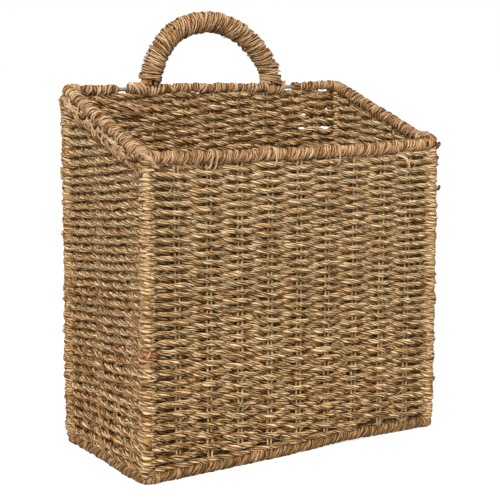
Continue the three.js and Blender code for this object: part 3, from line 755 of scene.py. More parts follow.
def build_weft():
    """All the rows, cut into pieces by wall and corner. A row below the sloping rim stops at its winding."""
    centres, free, fill, along, marks, covered, bend = weft_centres()
    rows = len(centres)
    pieces = {}
    total = along[0, -1]
    turns = np.round(2 * total / ROPE_LAY) / 2
    lay = turns * along[0] / total
    to_front = (BACK_Y - centres[..., 1]) / (BACK_Y - FRONT_Y)
    share_up = centres[..., 2] / PAINTED_LIGHT_HEIGHT - PAINTED_LIGHT_FROM_SHARE
    # Painted light on the tone: lighter higher up and on the left wall towards the front, darker on the back
    # wall as shade
    painted_light = PAINTED_LIGHT_GAIN * share_up + (0.02 + 0.1 * share_up + 0.26 * (to_front - 0.55)) * (marks == "left")
    painted_light -= BACK_PAINTED_SHADE * (marks == "back")
    for row in range(rows):
        inside = centres[row, :, 2] < rim_z(centres[row, :, 1]) - RIM_RADIUS - ROW_CLEARANCE
        inside |= np.char.startswith(marks, "back")
        turned = lay + rng.uniform()
        plies = rope_rings(centres[row], UP, free[row], along[0], turned, fill[row], covered[row])
        for rings, shade, ridge_tone_and_painted_light in plies:
            tone, tint = strand_tone(along[0])
            # The left wall and the rows at the posts are tinted more rusty, and the rows at the posts are
            # painted lighter
            tint = tint + LEFT_RUSTIER * (marks == "left") + CORNER_RUSTIER * bend
            tone = (tone + painted_light[row])[:, None] + ridge_tone_and_painted_light + CORNER_PAINTED_LIGHT * bend[:, None]
            # Near the posts the grooves between strands get less painted shade, and the edges towards the
            # next rows more
            shade[:, 1::2] = np.maximum(shade[:, 1::2], 0.26 * bend[:, None])
            apart = np.abs(rings[..., 2] - centres[row, :, 2][:, None]) / PLY_WIDE
            shade = shade * (1 - 0.75 * bend[:, None] * np.clip((apart - 0.5) / 0.5, 0, 1))
            for start, stop, key in stretches(marks, inside, row, rows):
                pieces.setdefault(key, Strands()).add(
                    rings[start:stop], tone[start:stop], tint[start:stop, None], shade[start:stop])
    return pieces


def stretches(marks, inside, row, rows):
    """Runs of one row that lie on one wall or corner: first point, end and piece. Each takes in the point
    past it, so that the pieces meet."""
    found = []
    start = 0
    for i in range(1, len(marks) + 1):
        if i == len(marks) or marks[i] != marks[start] or inside[i] != inside[start]:
            if inside[start] and i - start > 1:
                stop = min(i + 1, len(marks))
                name = marks[start]
                if name in ("front", "back"):
                    name += "_lower" if row < rows * LOWER_SHARE else "_upper"
                found.append((start, stop, name))
            start = i
    return found


# Warps: two thin strands side by side at each place, from rim to rim


def warp_strands(strands, bottom, top, width_axis, depth_axis):
    """Adds one warp's strands between two points, each a thin twisted strand that wavers a little."""
    length = np.linalg.norm(top - bottom)
    steps = int(length / WARP_STEP)
    along = np.linspace(0, length, steps + 1)
    line = bottom + (along / length)[:, None] * (top - bottom)
    for slot in (-0.5, 0.5):
        side = slot * WARP_STRAND_SPACING + 0.5 * wander(along, 45.0)
        deep = 0.3 * wander(along, 30.0)
        path = line + side[:, None] * width_axis + deep[:, None] * depth_axis
        first, second = cross_axes(path, width_axis)
        angle = circle(WARP_SIDES) + (along / WARP_TWIST)[:, None]
        ridge = WARP_STRAND_RADIUS * (1 + 0.14 * (-1.0) ** np.arange(WARP_SIDES))
        rings = tube(path, first, second, ridge * np.cos(angle), ridge * np.sin(angle))
        tone, tint = strand_tone(along)
        # The warps get painted shade all over
        strands.add(rings, tone[:, None], tint[:, None], 0.5)


def build_warps():
    """Each warp as a piece. Those of the front wall stand a little further out, where they show."""
    for wall, facts in WALLS.items():
        _, _, direction, outward = wall_line(wall)
        width_axis, depth_axis = np.append(direction, 0.0), np.append(outward, 0.0)
        shown = WARP_SHOWS * depth_axis if wall == "front" else 0.0
        for i in range(facts["warps"]):
            node = f"warp_{wall}_{i + 1}"
            x, y, _ = middle(node)
            strands = Strands()
            bottom = np.array([x, y, FOOT_WIRE_Z + WARP_END]) + shown
            top = np.array([x, y, rim_z(y) - WARP_END]) + shown
            warp_strands(strands, bottom, top, width_axis, depth_axis)
            strands.make(f"strands_{node}", "seagrass_warp", node)


# Windings: blades wound side by side round a path


def wound_strands(strands, path, out_axis, radius, starts, spacing, half_width, half_thick, low=None,
                  bundle=0.0, jitter=0.55, light=0.5, hue=0.0, varied=0.24, bunching=1.0, slant=0.0,
                  face=math.pi / 2):
    """Adds strands that wind round a path side by side: c = path(s) + reach * (cos(a) out + sin(a) up).

    out keeps near out_axis. starts is how many strands are wound together, and bundle is how far the middle
    one of them stands out from the outer ones. The strands crowd into bunches of about BUNCH_LENGTH, which
    stand out a little and lean to one side or the other.
    """
    along = distances(path)
    out, up = cross_axes(path, out_axis)
    pitch = starts * spacing
    turns = (along[-1] - spacing) / pitch
    steps = max(int(turns * WOUND_STEPS), 8)
    section = circle(WOUND_SIDES)
    bunch = 2 * math.pi * (along + 3.0 * wander(along, 38.0)) / BUNCH_LENGTH
    lump = 0.3 * wander(along, 14.0) + 0.17 * bunching * np.cos(bunch)
    lean = slant + 1.5 * wander(along, 17.0)
    crowd = -0.45 * bunching * np.sin(bunch)
    radius = np.broadcast_to(radius, along.shape)
    for start in range(starts):
        turn = np.linspace(0, turns, steps + 1)
        angle = -2 * math.pi * turn
        at = turn * pitch + (start + 0.5) * spacing
        at = at + np.interp(at, along, crowd) + np.interp(at, along, lean) * np.sin(angle + face)
        at = np.clip(at + jitter * (wander(turn, 1.5) + wander(turn, 0.7)), 0, along[-1])
        centre, out_there, up_there = (points_at(at, along, line) for line in (path, out, up))
        spoke = np.cos(angle)[:, None] * out_there + np.sin(angle)[:, None] * up_there
        stand = bundle * (1 - abs(2 * start / max(starts - 1, 1) - 1)) - bundle / 2
        reach = np.interp(at, along, radius + lump) - half_thick - WOUND_UNDER + stand
        reach = reach + 0.35 * wander(turn, 1.1) + 0.3 * wander(turn, 0.45)
        core = centre + reach[:, None] * spoke
        heading = unit(np.gradient(core, axis=0))
        width_axis = unit(np.cross(spoke, heading))
        roll = 0.14 + 0.35 * wander(turn, 1.7)
        wide = np.cos(roll)[:, None] * width_axis + np.sin(roll)[:, None] * spoke
        thick = np.cross(heading, wide)
        swell = 1 + 0.2 * wander(turn, 0.8)
        ridge = 1 + 0.17 * np.cos(3 * section - 2 * math.pi * (turn * 2.2 + rng.uniform())[:, None])
        across = half_width * swell[:, None] * ridge * np.cos(section)
        rings = tube(core, wide, thick, across, half_thick * ridge * np.sin(section))
        if low is not None:
            rings[..., 2] = np.maximum(rings[..., 2], low)
        each = rng.normal(0, varied, int(turns * 1.6) + 3)
        tone = light + np.interp(turn * 1.6, np.arange(len(each)), each) + 0.16 * wander(turn, 0.4)
        # The ridges of each strand are painted lighter and its furrows darker
        tone = tone[:, None] + 0.8 * (ridge - 1)
        rust = 1.2 * np.clip(wander(turn, 1.8) - 0.75, 0, 1)
        tint = rust - np.clip(wander(turn, 3.0) - 0.4, 0, 1)
        # Painted shade at each strand's two edges, where it meets its neighbours
        shade = np.clip(1.1 - 1.5 * np.cos(section) ** 2, 0, 1)
        strands.add(rings, tone, (tint + hue)[:, None], shade)


def packing(strands, path, out_axis, radius, sides=10):
    """A round bed under the blades, painted dark as shade where it shows between them: a circle carried along
    the path.
    """
    out, up = cross_axes(path, out_axis)
    angle = circle(sides)
    strands.add(tube(path, out, up, radius * np.cos(angle), radius * np.sin(angle)), 0.2, 0.0, 0.35)


def straight(start, end, step=2.0):
    """Points on a straight line from start to end, about a step apart."""
    count = max(int(np.linalg.norm(end - start) / step), 2)
    return start + np.linspace(0, 1, count + 1)[:, None] * (end - start)


def wound_stretch(name, path, radius, node, low=None, spacing=WOUND_SPACING, bed=2.0, **looks):
    """One stretch of a rim's winding as a piece. bed is how far its bed, painted dark as shade, lies under
    the outline.
    """
    strands = Strands()
    packing(strands, path, UP, radius - bed)
    wound_strands(strands, path, UP, radius, WOUND_STARTS, spacing, WOUND_HALF_WIDTH, WOUND_HALF_THICK, low,
                  **looks)
    strands.make(name, "seagrass_winding", node)


LOOSE_STEP = 1.5
LOOSE_TAPER = 0.35
# A direction that no strand lies along, to which the sections of loose strands keep
LOOSE_AXIS = (0.31, 0.22, 0.92)


def smooth_line(knots):
    """A rounded line through about the given points: corners cut three times, then even steps."""
    line = np.array(knots, float)
    for _ in range(3):
        cut = [0.75 * line[:-1] + 0.25 * line[1:], 0.25 * line[:-1] + 0.75 * line[1:]]
        line = np.concatenate([line[:1], np.stack(cut, axis=1).reshape(-1, 3), line[-1:]])
    return evened(line, max(int(distances(line)[-1] / LOOSE_STEP), 4))


def loose_strand(strands, line, half_width, half_thick, tone, tint=0.0, sides=8, shade=0.8):
    """Adds one strand along a line: a flat twisted section with three ridges, thinner at its two ends."""
    first, second = cross_axes(line, LOOSE_AXIS)
    share = np.linspace(0, 1, len(line))
    size = LOOSE_TAPER + (1 - LOOSE_TAPER) * np.clip(np.sin(math.pi * share) * 3, 0, 1)
    section = circle(sides)
    ridge = 1 + 0.14 * np.cos(3 * section - 5 * share[:, None] - rng.uniform(0, 6))
    wide = size[:, None] * half_width * ridge * np.cos(section)
    deep = size[:, None] * half_thick * ridge * np.sin(section)
    rings = tube(line, first, second, wide, deep)
    # The ridges are painted lighter and the furrows darker, and shade is painted shade
    strands.add(rings, tone + 0.7 * (ridge - 1), tint, shade)


def rim_point(x, y):
    """The point of the top hoop's plane over a place."""
    return np.array([x, y, rim_z(y)])


def foot_point(x, y):
    """The point of the bottom hoop's plane over a place."""
    return np.array([x, y, FOOT_WIRE_Z])


def corner_path(post, point):
    """A quarter turn about an inner centre, from the winding on one side of a post to that on the other."""
    x, y = post
    to_x = -np.sign(x)
    to_y = -np.sign(y - (FRONT_Y + BACK_Y) / 2)
    bend = CORNER_TURN_RADIUS
    turn = np.radians(np.linspace(0, 90, 9))
    arc = [(x + to_x * (bend - bend * math.sin(t)), y + to_y * (bend - bend * math.cos(t))) for t in turn]
    line = [(x + to_x * CORNER_REACH, y), *arc, (x, y + to_y * CORNER_REACH)]
    return np.array([point(*place) for place in line])


def build_post_coil(name, post, node):
    """The rope that turns round a post inside its corner: a coil, c = post + reach * (cos a, sin a)."""
    x, y = post
    turn = np.arange(0, (rim_z(y) - COIL_TOP_GAP - COIL_BOTTOM) / COIL_PITCH, 1 / COIL_STEPS)
    reach = COIL_REACH + 0.4 * wander(turn, 3.3)
    height = COIL_BOTTOM + COIL_PITCH * turn + 0.5 * wander(turn, 2.3)
    angle = 2 * math.pi * turn
    centre = np.stack([x + reach * np.cos(angle), y + reach * np.sin(angle), height], axis=-1)
    along = COIL_REACH * angle
    strands = Strands()
    lay_rope(strands, centre, UP, 1.0, along, along / COIL_LAY, 0.96)
    strands.make(f"rope_coil_{name}", "seagrass_weave", node)


def wall_ends(wall):
    """Where a wall's windings start and end, short of its posts."""
    start, end, direction, _ = wall_line(wall)
    return start + CORNER_HALF * direction, end - CORNER_HALF * direction


# Where the back rim's winding stands up: height, centre and width along x
BACK_RIM_BUMPS = {"back_middle": ((1.6, -22, 9),), "back_right": ((1.8, 147, 16),)}
# How much thicker the front right corner is at the rim and the foot, and how far it is moved at the rim
FRONT_RIGHT_THICKER = (1.0, 0.8)
FRONT_RIGHT_MOVED = (0.7, -0.2, 1.9)


def build_rim_windings():
    """The top hoop's windings: on three walls, and in three stretches at the back."""
    runs = {wall: wall_ends(wall) for wall in ("front", "right", "left")}
    for side in ("right", "middle", "left"):
        low, high = box_mm(f"rim_winding_back_{side}")
        runs[f"back_{side}"] = [(high[0], BACK_Y), (low[0], BACK_Y)]
    runs["back_right"][0], runs["back_left"][1] = wall_ends("back")
    for name, (start, end) in runs.items():
        at_back = name.startswith("back")
        path = straight(rim_point(*start), rim_point(*end))
        path[:, 2] += bumps(path[:, 0], BACK_RIM_BUMPS.get(name, ()))
        if name == "back_middle":
            path[:, 2] += 0.5 * np.sin(path[:, 0] / 9)
        wound_stretch(f"strands_rim_{name}", path, BACK_RIM_RADIUS if at_back else RIM_RADIUS,
                      f"rim_winding_{name}", bed=1.2 if name == "front" else 2.0,
                      light=0.38 if at_back else 0.44, slant=0.7)


def build_foot_windings():
    """The bottom hoop's windings, flattened where they stand on the ground."""
    for wall in ("front", "right", "back", "left"):
        start, end = wall_ends(wall)
        # The foot's blades are dark: partly painted shade, as they face the ground, and partly dirt
        wound_stretch(f"strands_foot_{wall}", straight(foot_point(*start), foot_point(*end)), FOOT_RADIUS,
                      f"foot_winding_{wall}", low=0.0, light=0.06, hue=-0.4, slant=2.2)


def build_corners():
    """The windings round the corners of both hoops, and the coil on each post. The front right is thicker."""
    for name, post in POSTS.items():
        node = f"corner_wrap_{name}"
        radius = KNUCKLE_RADIUS if name.startswith("front") else RIM_RADIUS
        foot_radius = FOOT_RADIUS
        path = corner_path(post, rim_point)
        if name == "front_right":
            radius += FRONT_RIGHT_THICKER[0]
            foot_radius += FRONT_RIGHT_THICKER[1]
            path += FRONT_RIGHT_MOVED
        wound_stretch(f"strands_rim_corner_{name}", path, radius, node, spacing=CORNER_SPACING, bed=1.5,
                      light=0.38)
        # The foot corners' blades are dark: partly painted shade, as they face the ground, and partly dirt
        wound_stretch(f"strands_foot_corner_{name}", corner_path(post, foot_point), foot_radius, node,
                      low=0.0, spacing=CORNER_SPACING, bed=1.5, light=0.2, hue=-0.3)
        build_post_coil(name, post, node)


# Ropes, stitches and ends laid over the rims


def around(centre, along, out, knots):
    """A rounded line round a rim: each knot is its distance along, out and up from the rim's centre."""
    return smooth_line([centre + a * along + b * out + c * UP for a, b, c in knots])


FOOT_ROPE_RISE = 7.2
FOOT_ROPE_OUT = 1.8
FOOT_ROPE_INSET = 4
FOOT_ROPE_STEP = 2.4
FRONT_FOOT_ROPE_END = 72


def build_foot_ropes():
    """Ropes laid on the bottom rim under the first rows. The front's ends a little right of the middle."""
    for wall in ("front", "left", "right", "back"):
        start, end, direction, outward = wall_line(wall)
        start = start + FOOT_ROPE_INSET * direction
        end = end - FOOT_ROPE_INSET * direction
        if wall == "front":
            end[0] = FRONT_FOOT_ROPE_END
        line = straight(foot_point(*start), foot_point(*end), FOOT_ROPE_STEP) + FOOT_ROPE_RISE * UP
        along = distances(line)
        out = FOOT_ROPE_OUT + 1.4 * wander(along, 50.0)
        line = line + out[:, None] * np.append(outward, 0.0)
        line[:, 2] += 0.6 * wander(along, 35.0)
        strands = Strands()
        # A darker tone, and more painted shade (lit 0.8)
        lay_rope(strands, line, UP, 1.0, along, along / ROPE_LAY, 0.95, lighter=-0.1, lit=0.8)
        strands.make(f"foot_rope_{wall}", "seagrass_weave", f"weave_{wall}")


# A stitch over a side rim: the share of its lean and the distance along the rim, out and up
SIDE_STITCH = ((1.0, 0.0, 4.0, -16.5), (1.0, 0.0, 7.4, -15.8), (0.6, 0.0, 8.4, -12.0), (0.3, 0.0, 6.2, -6.0),
               (0.0, 0.0, 5.8, 0.0), (0.0, -1.0, 3.8, 4.4), (0.0, -2.0, -0.5, 5.6))
SIDE_ROPE_OUT = 7.2
SIDE_ROPE_DROP = 13.5
SIDE_ROPE_LAY = 19.0
SIDE_STITCH_PLACES = (-58, -33, -8, 14, 40, 61)
SHORT_STRANDS = 44


def build_side_ropes():
    """A rope laid outside each side wall under its sloping rim, long stitches over both, and short strands
    that fill the gap between them."""
    for side, wall_x in (("left", LEFT_X), ("right", RIGHT_X)):
        out = np.array([math.copysign(1.0, wall_x), 0.0, 0.0])
        y = np.arange(FRONT_Y - 3.0, BACK_Y + 4.0, 2.0)
        along = y - y[0]
        drop = SIDE_ROPE_DROP + 1.5 * wander(along, 50.0) - 5.0 * near(y, BACK_Y, 14)
        x = wall_x + out[0] * (SIDE_ROPE_OUT + 0.5 * wander(along, 30.0))
        line = np.stack([x, y, rim_z(y) - drop], axis=-1)
        strands = Strands()
        # A little darker tone, and more painted shade (lit 0.9)
        lay_rope(strands, line, UP, 1.0, along, along / SIDE_ROPE_LAY, 0.86, lighter=-0.04, lit=0.9)
        slope = unit(np.array([0.0, 1.0, SLOPE]))
        for place in SIDE_STITCH_PLACES:
            lean = rng.uniform(-7, 5)
            knots = [(share * lean + shift, away, high) for share, shift, away, high in SIDE_STITCH]
            line = around(rim_point(wall_x, place), slope, out, knots)
            loose_strand(strands, line, 1.25, 0.7, rng.normal(0.45, 0.1))
        for place in rng.uniform(-74, 72, SHORT_STRANDS):
            run = rng.uniform(3.5, 8.0)
            high = rng.uniform(-12.0, -5.0)
            fall = rng.uniform(-1.5, 5.0)
            knots = [(run, 4.6, high), (0.4 * run, 7.6, high - 0.3 * fall),
                     (-0.4 * run, 8.0, high - 0.7 * fall), (-run, 5.0, high - fall)]
            line = around(rim_point(wall_x, place), slope, out, knots)
            loose_strand(strands, line, rng.uniform(0.8, 1.3), 0.8, rng.normal(0.42, 0.14))
        strands.make(f"side_rope_{side}", "seagrass_winding", f"rim_winding_{side}")


FRONT_STITCH_PLACES = (-101, -96, -31, 44, 118)
RUST_STITCH_X = 90
RUST_STITCH = ((-3.0, 5.0, -6.5), (-1.5, 7.8, -2.0), (1.0, 7.2, 3.0), (3.5, 3.0, 7.2), (6.0, -3.0, 6.5))
TAILS_X = 129
TAILS = (((-8, 5.5, -8), (-3, 8.8, -11), (0, 9.2, -15), (1, 9.0, -21), (2, 8.2, -23)),
         ((-14, 6.0, -7), (-7, 8.6, -9), (-2, 9.6, -13), (-1, 9.6, -18)))
CORNER_ENDS = 14


def build_front_stitches():
    """Strands sewn over the front rim and the first rows under it, and the loose ends near the corners."""
    strands = Strands()
    out = np.array([0.0, -1.0, 0.0])
    right = np.array([1.0, 0.0, 0.0])
    for x in FRONT_STITCH_PLACES:
        lean = rng.uniform(-5, 1)
        low = rng.uniform(-13, -9)
        knots = [(lean, 3.2, low - 2), (lean, 6.6, low), (0.5 * lean, 7.6, -7.0), (0.0, 7.2, 0.0),
                 (1.0, 4.8, 5.4), (2.0, -0.5, 7.2), (2.0, -5.0, 4.5)]
        line = around(rim_point(x, FRONT_Y), right, out, knots)
        loose_strand(strands, line, 0.95, 0.7, rng.normal(0.5, 0.12))
    line = around(rim_point(RUST_STITCH_X, FRONT_Y), right, out, RUST_STITCH)
    loose_strand(strands, line, 1.2, 0.8, 0.5, 0.9)
    for tail in TAILS:
        loose_strand(strands, around(rim_point(TAILS_X, FRONT_Y), right, out, tail), 1.5, 0.9, 0.7)
    for i in range(CORNER_ENDS):
        x, y, z = LEFT_X - 7 + 0.9 * i, FRONT_Y - 6.4 + 0.2 * abs(i - 7), FRONT_WIRE_Z + 3.5 - 0.7 * i
        run = np.array([5.5, rng.uniform(-1.5, 1.5), rng.uniform(-6.5, -1.0)]) * rng.uniform(0.8, 1.3)
        bow = 0.6 * np.array([-1.0, -1.6, 0.6])
        centre = np.array([x, y, z]) + rng.normal(0, 0.7, 3)
        line = smooth_line([centre - run + (0, 3, 0), centre - 0.4 * run + bow, centre + 0.4 * run + bow,
                            centre + run + (0, 2.2, 0)])
        loose_strand(strands, line, 1.15, 0.8, rng.normal(0.45, 0.14))
    strands.make("front_stitches", "seagrass_winding", "rim_winding_front")


# Knots of cut ends: x, y, z, radius, tone
KNOTS = ((171, -85, 296, 3.4, 0.06), (174, -83, 252, 2.4, 0.06), (-168.5, 78, 350, 3.2, 0.3),
         (-170.5, 78, 343, 3.0, 0.45), (-168, -86, 122, 2.6, 0.6))
INNER_KNOT = ((-114, 70.5, 342), (-107, 67.6, 341), (-99, 67.0, 336), (-92, 67.6, 337), (-86, 70.5, 335))
INNER_KNOT_STRANDS = 6


def build_knots():
    """Cut ends knotted at the corners, and rusty ends tucked in on the inside of the back wall.

    A knot turns on itself: x + reach * cos(t), y + reach * sin(1.13 t), z + reach * cos(0.87 t + 1).
    """
    strands = Strands()
    for x, y, z, radius, tone in KNOTS:
        turn = np.linspace(0, 5.5 * math.pi, 60)
        reach = radius * (0.45 + 0.4 * np.sin(turn * 0.31))
        line = np.stack([x + reach * np.cos(turn), y + reach * np.sin(turn * 1.13),
                         z + reach * np.cos(turn * 0.87 + 1)], axis=-1)
        loose_strand(strands, line, 1.15, 0.9, tone, shade=min(1.0, 0.15 + 2 * tone))
    for i in range(INNER_KNOT_STRANDS):
        line = smooth_line(np.array(INNER_KNOT) - 1.6 * i * UP + rng.normal(0, 0.7, 3))
        loose_strand(strands, line, 0.75, 0.7, rng.normal(0.55, 0.2), 0.7, shade=0.7)
    strands.make("corner_knots", "seagrass_weave")


WALL_FIBRES = {"front": 420, "left": 200, "right": 100, "back": 200}
ROPE_FACE = 5.9


def build_stray_fibres():
    """Fine fibres that stand out of the rope and the windings: bowed, or with one end free."""
    strands = Strands()

    def fibre(place, heading, out, free):
        """One fibre about a place: a parabola that bows outward, or half of one where its end is free."""
        length = rng.uniform(5, 13)
        bow = rng.uniform(0.8, 3.0)
        share = np.linspace(0, 1, 7)[:, None]
        rise = share ** 2 if free else 4 * share * (1 - share)
        line = place + (share - 0.5) * length * heading + bow * rise * out
        line = line + 0.5 * np.sin(5 * share + rng.uniform(0, 6)) * np.cross(heading, out)
        loose_strand(strands, line, rng.uniform(0.2, 0.5), 0.2, rng.uniform(0.3, 1.0), sides=4)

    for wall, count in WALL_FIBRES.items():
        start, end, direction, outward = wall_line(wall)
        along, out = np.append(direction, 0.0), np.append(outward, 0.0)
        for _ in range(count):
            place = np.append(start + rng.uniform(0.02, 0.98) * (end - start), 0.0) + ROPE_FACE * out
            place[2] = rng.uniform(14, rim_z(place[1]) - 8)
            heading = unit(along + rng.normal(0.1, 0.8) * UP)
            fibre(place, heading, out, rng.uniform() < 0.3)
    front_left, front_right, back_right, back_left = (rim_point(*POSTS[name]) for name in CORNERS)
    rims = [(straight(front_left, front_right), RIM_RADIUS, 40),
            (straight(front_left, back_left), RIM_RADIUS, 25),
            (straight(front_right, back_right), RIM_RADIUS, 20),
            (straight(back_left, back_right), BACK_RIM_RADIUS, 18),
            (arch_path(HANDLE_START), HANDLE_RADIUS + 0.8, 24)]
    for path, radius, count in rims:
        tangent = unit(np.gradient(path, axis=0))
        for i in rng.integers(2, len(path) - 2, count):
            spoke = unit(np.cross(tangent[i], rng.normal(size=3)))
            round_rim = np.cross(tangent[i], spoke)
            heading = unit(round_rim + rng.uniform(-0.7, 0.7) * tangent[i])
            fibre(path[i] + (radius - 0.4) * spoke, heading, spoke, rng.uniform() < 0.35)
    strands.make("stray_fibres", "seagrass_warp")


# Handle: a wound arch over a padded wire

HANDLE_START = RIM_RADIUS * 0.6
ARCH_POINTS = 120
HANDLE_THICKER = 1.1
PADDING_UNDER = 1.3
# At each foot, how far along the rim its strands lie on top of the rim, and how far under it
LEFT_FOOT_STRANDS = ((-23, -17, -11, -5, 1, 6, 11), (-12, -8, -5, -2, 1, 3, 6))
RIGHT_FOOT_STRANDS = ((-11, -5, 0, 5, 10, 15, 19), (-5, -3, -1, 1, 4, 8, 11))
# Round the back rim from top to bottom: the share of the way to the place under it, out and up
FOOT_STRAND_TURN = ((0.0, 4.5, 2.5), (0.0, 0.5, 6.6), (0.3, -5.2, 4.4), (0.65, -7.2, -0.5), (1.0, -4.4, -6.2),
                    (1.0, 1.5, -6.8))
# How far the arch is off a true one, sideways and up: distance, angle from the left foot, width in angle
ARCH_LEAN = ((1.2, 0.45, 0.4), (-4.4, 2.3, 0.45), (1.5, 2.95, 0.25))
ARCH_RISE = ((2.0, 0.85, 0.35), (-1.7, 1.95, 0.4))


def arch_path(height):
    """The handle's centre line from foot to foot above a height over the back wire, by even lengths.

    It is half an ellipse, x = -half span * cos(t) and z = rise * sin(t), but its left shoulder stands a
    little high, and the right side of its crown leans in.
    """
    lift = math.asin(height / HANDLE_RISE)
    t = np.linspace(lift, math.pi - lift, 400)
    x = -HANDLE_HALF_SPAN * np.cos(t) + bumps(t, ARCH_LEAN)
    z = BACK_WIRE_Z + HANDLE_RISE * np.sin(t) + bumps(t, ARCH_RISE)
    line = np.stack([x, np.full(t.shape, BACK_Y), z], axis=-1)
    return evened(line, ARCH_POINTS)


def build_handle():
    """The padding, and the winding over it with the strands that turn round the back rim at its two feet."""
    path = arch_path(HANDLE_START)
    axis = (0.0, 1.0, 0.0)
    padding = Strands()
    packing(padding, path, axis, HANDLE_RADIUS - PADDING_UNDER, 16)
    padding.make("handle_padding", "seagrass_weave", "handle_core")
    strands = Strands()
    index = np.arange(len(path))
    ends = np.minimum(index, index[::-1]) / len(path)
    thick = HANDLE_RADIUS + HANDLE_THICKER + 1.0 * near(ends, 0.0, 0.12)
    slant = 2.8 - 4.6 * near(np.linspace(0, 1, len(path)), 0.0, 0.2)
    wound_strands(strands, path, axis, thick, WOUND_STARTS, spacing=2.1, half_width=1.08, half_thick=1.05,
                  bundle=0.8, jitter=0.8, light=0.46, varied=0.15, bunching=0.2, slant=slant, face=0.0)
    for foot, places in ((-HANDLE_HALF_SPAN, LEFT_FOOT_STRANDS), (HANDLE_HALF_SPAN, RIGHT_FOOT_STRANDS)):
        for top, bottom in zip(*places):
            knots = [(foot + (1 - share) * top + share * bottom, BACK_Y + out, BACK_WIRE_Z + high)
                     for share, out, high in FOOT_STRAND_TURN]
            loose_strand(strands, smooth_line(knots), 1.45, 1.15, rng.normal(0.5, 0.15))
    strands.make("strands_handle", "seagrass_winding", "handle_winding")


# Floor: rows from left to right over and under strands that run from front to back


def build_floor():
    """Rows that swing up and down over the floor's strands as half cosines, and reach under the walls."""
    low, high = box_mm("weave_floor")
    low[:2] -= FLOOR_REACH
    high[:2] += FLOOR_REACH
    rows = int((high[1] - low[1]) / FLOOR_ROW_PITCH)
    length = high[0] - low[0]
    along = np.linspace(0, length, round(length / FLOOR_STEP) + 1)
    places = warp_places("front") + LEFT_X - low[0]
    knots = np.concatenate([[0], places, [length]])
    swing = FLOOR_THICKNESS / 2 - PLY_OFFSET - PLY_DEEP + 0.5
    weave = Strands()
    for row in range(rows):
        signs = (-1.0) ** (row + np.arange(len(knots)))
        height = FLOOR_Z + swing * eased(along, knots, signs)
        y = low[1] + (row + 0.5) * (high[1] - low[1]) / rows + 0.3 * wander(along, 40.0)
        centre = np.stack([low[0] + along, y, height], axis=-1)
        free = np.abs(eased(along, knots, signs))
        lay_rope(weave, centre, (0.0, 1.0, 0.0), free, along, along / ROPE_LAY + rng.uniform())
    for place in places:
        start = np.array([low[0] + place, low[1], FLOOR_Z])
        end = np.array([low[0] + place, high[1], FLOOR_Z])
        warp_strands(weave, start, end, np.array([1.0, 0.0, 0.0]), UP)
    weave.make("rope_floor", "seagrass_weave", "weave_floor")


# The basket

for key, strands in build_weft().items():
    wall = key.split("_")[0]
    strands.make(f"rope_{key}", "seagrass_weave", f"corner_wrap_{key}" if key in POSTS else f"weave_{wall}")
build_warps()
build_rim_windings()
build_foot_windings()
build_corners()
build_handle()
build_floor()
build_foot_ropes()
build_side_ropes()
build_front_stitches()
build_knots()
build_stray_fibres()

steel = wire_material()
for node in ("top_hoop", "bottom_hoop", "handle_wire", *(f"post_{name}" for name in POSTS)):
    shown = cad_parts[node]
    shown.data.materials.clear()
    shown.data.materials.append(steel)

# Camera, floor and light

CAMERA_PLACE = (-0.7029, -1.0446, 0.3842)
CAMERA_TURN = 0.5905
CAMERA_TILT = 0.1516
FOCAL_PIXELS = 1256.3
FRAME_PIXELS = 500
SENSOR = 36.0
FLOOR_HALF = 40.0
FLOOR_GREY = (0.4, 0.4, 0.4, 1.0)
FLOOR_GLOW = 0.78
WORLD_LIGHT = 0.47
WHITE = (1.0, 1.0, 1.0, 1.0)


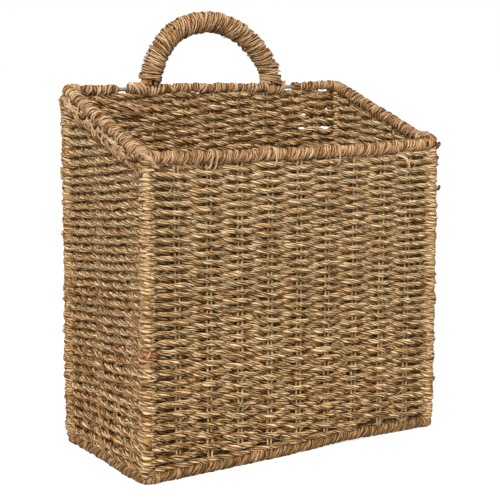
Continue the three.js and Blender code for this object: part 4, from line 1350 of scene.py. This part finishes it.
def add_camera():
    """The photo's camera: its place, its turn to the side, its tilt down and its focal length."""
    camera = bpy.data.cameras.new("camera")
    camera.sensor_width = SENSOR
    camera.lens = SENSOR * FOCAL_PIXELS / FRAME_PIXELS
    camera.clip_start = 0.01
    holder = bpy.data.objects.new("camera", camera)
    holder.location = CAMERA_PLACE
    holder.rotation_euler = (math.pi / 2 - CAMERA_TILT, 0, -CAMERA_TURN)
    bpy.context.scene.collection.objects.link(holder)
    bpy.context.scene.camera = holder


def add_floor():
    """A pale floor that the camera sees as white, apart from the basket's shadow."""
    graph = Graph(bpy.data.materials.new("studio_floor"))
    matte = graph.node("ShaderNodeBsdfDiffuse", {}, {"Color": FLOOR_GREY})
    glow = graph.node("ShaderNodeEmission", {}, {"Color": WHITE, "Strength": graph.seen() * FLOOR_GLOW})
    shader = graph.node("ShaderNodeAddShader", {}, [matte, glow])
    mesh = bpy.data.meshes.new("studio_floor")
    size = FLOOR_HALF
    corners = [(-size, -size, 0), (size, -size, 0), (size, size, 0), (-size, size, 0)]
    mesh.from_pydata(corners, [], [(0, 1, 2, 3)])
    mesh.materials.append(graph.surface(shader))
    floor = bpy.data.objects.new("studio_floor", mesh)
    bpy.context.scene.collection.objects.link(floor)


def add_sun(name, source, spread, strength):
    """A wide soft lamp far away in the direction of source, which lights the whole floor evenly."""
    lamp = bpy.data.lights.new(name, "SUN")
    lamp.angle = math.radians(spread)
    lamp.energy = strength
    holder = bpy.data.objects.new(name, lamp)
    holder.location = source
    x, y, z = source
    holder.rotation_euler = (math.pi / 2 - math.atan2(z, math.hypot(x, y)), 0, math.atan2(x, -y))
    bpy.context.scene.collection.objects.link(holder)


def add_world():
    """Even white surroundings: seen as white, and lighting the basket at a lower strength."""
    graph = Graph(bpy.data.worlds.new("studio"))
    strength = graph.limited(graph.seen(), 0.0, 1.0, WORLD_LIGHT, 1.0)
    light = graph.node("ShaderNodeBackground", {}, {"Color": WHITE, "Strength": strength})
    bpy.context.scene.world = graph.surface(light, "ShaderNodeOutputWorld")


add_camera()
add_floor()
add_world()
add_sun("key", (-1.1, -1.15, 1.0), 30.0, 3.4)
add_sun("fill", (0.6, -1.0, 1.9), 60.0, 0.7)

bpy.context.scene.view_settings.view_transform = "Standard"
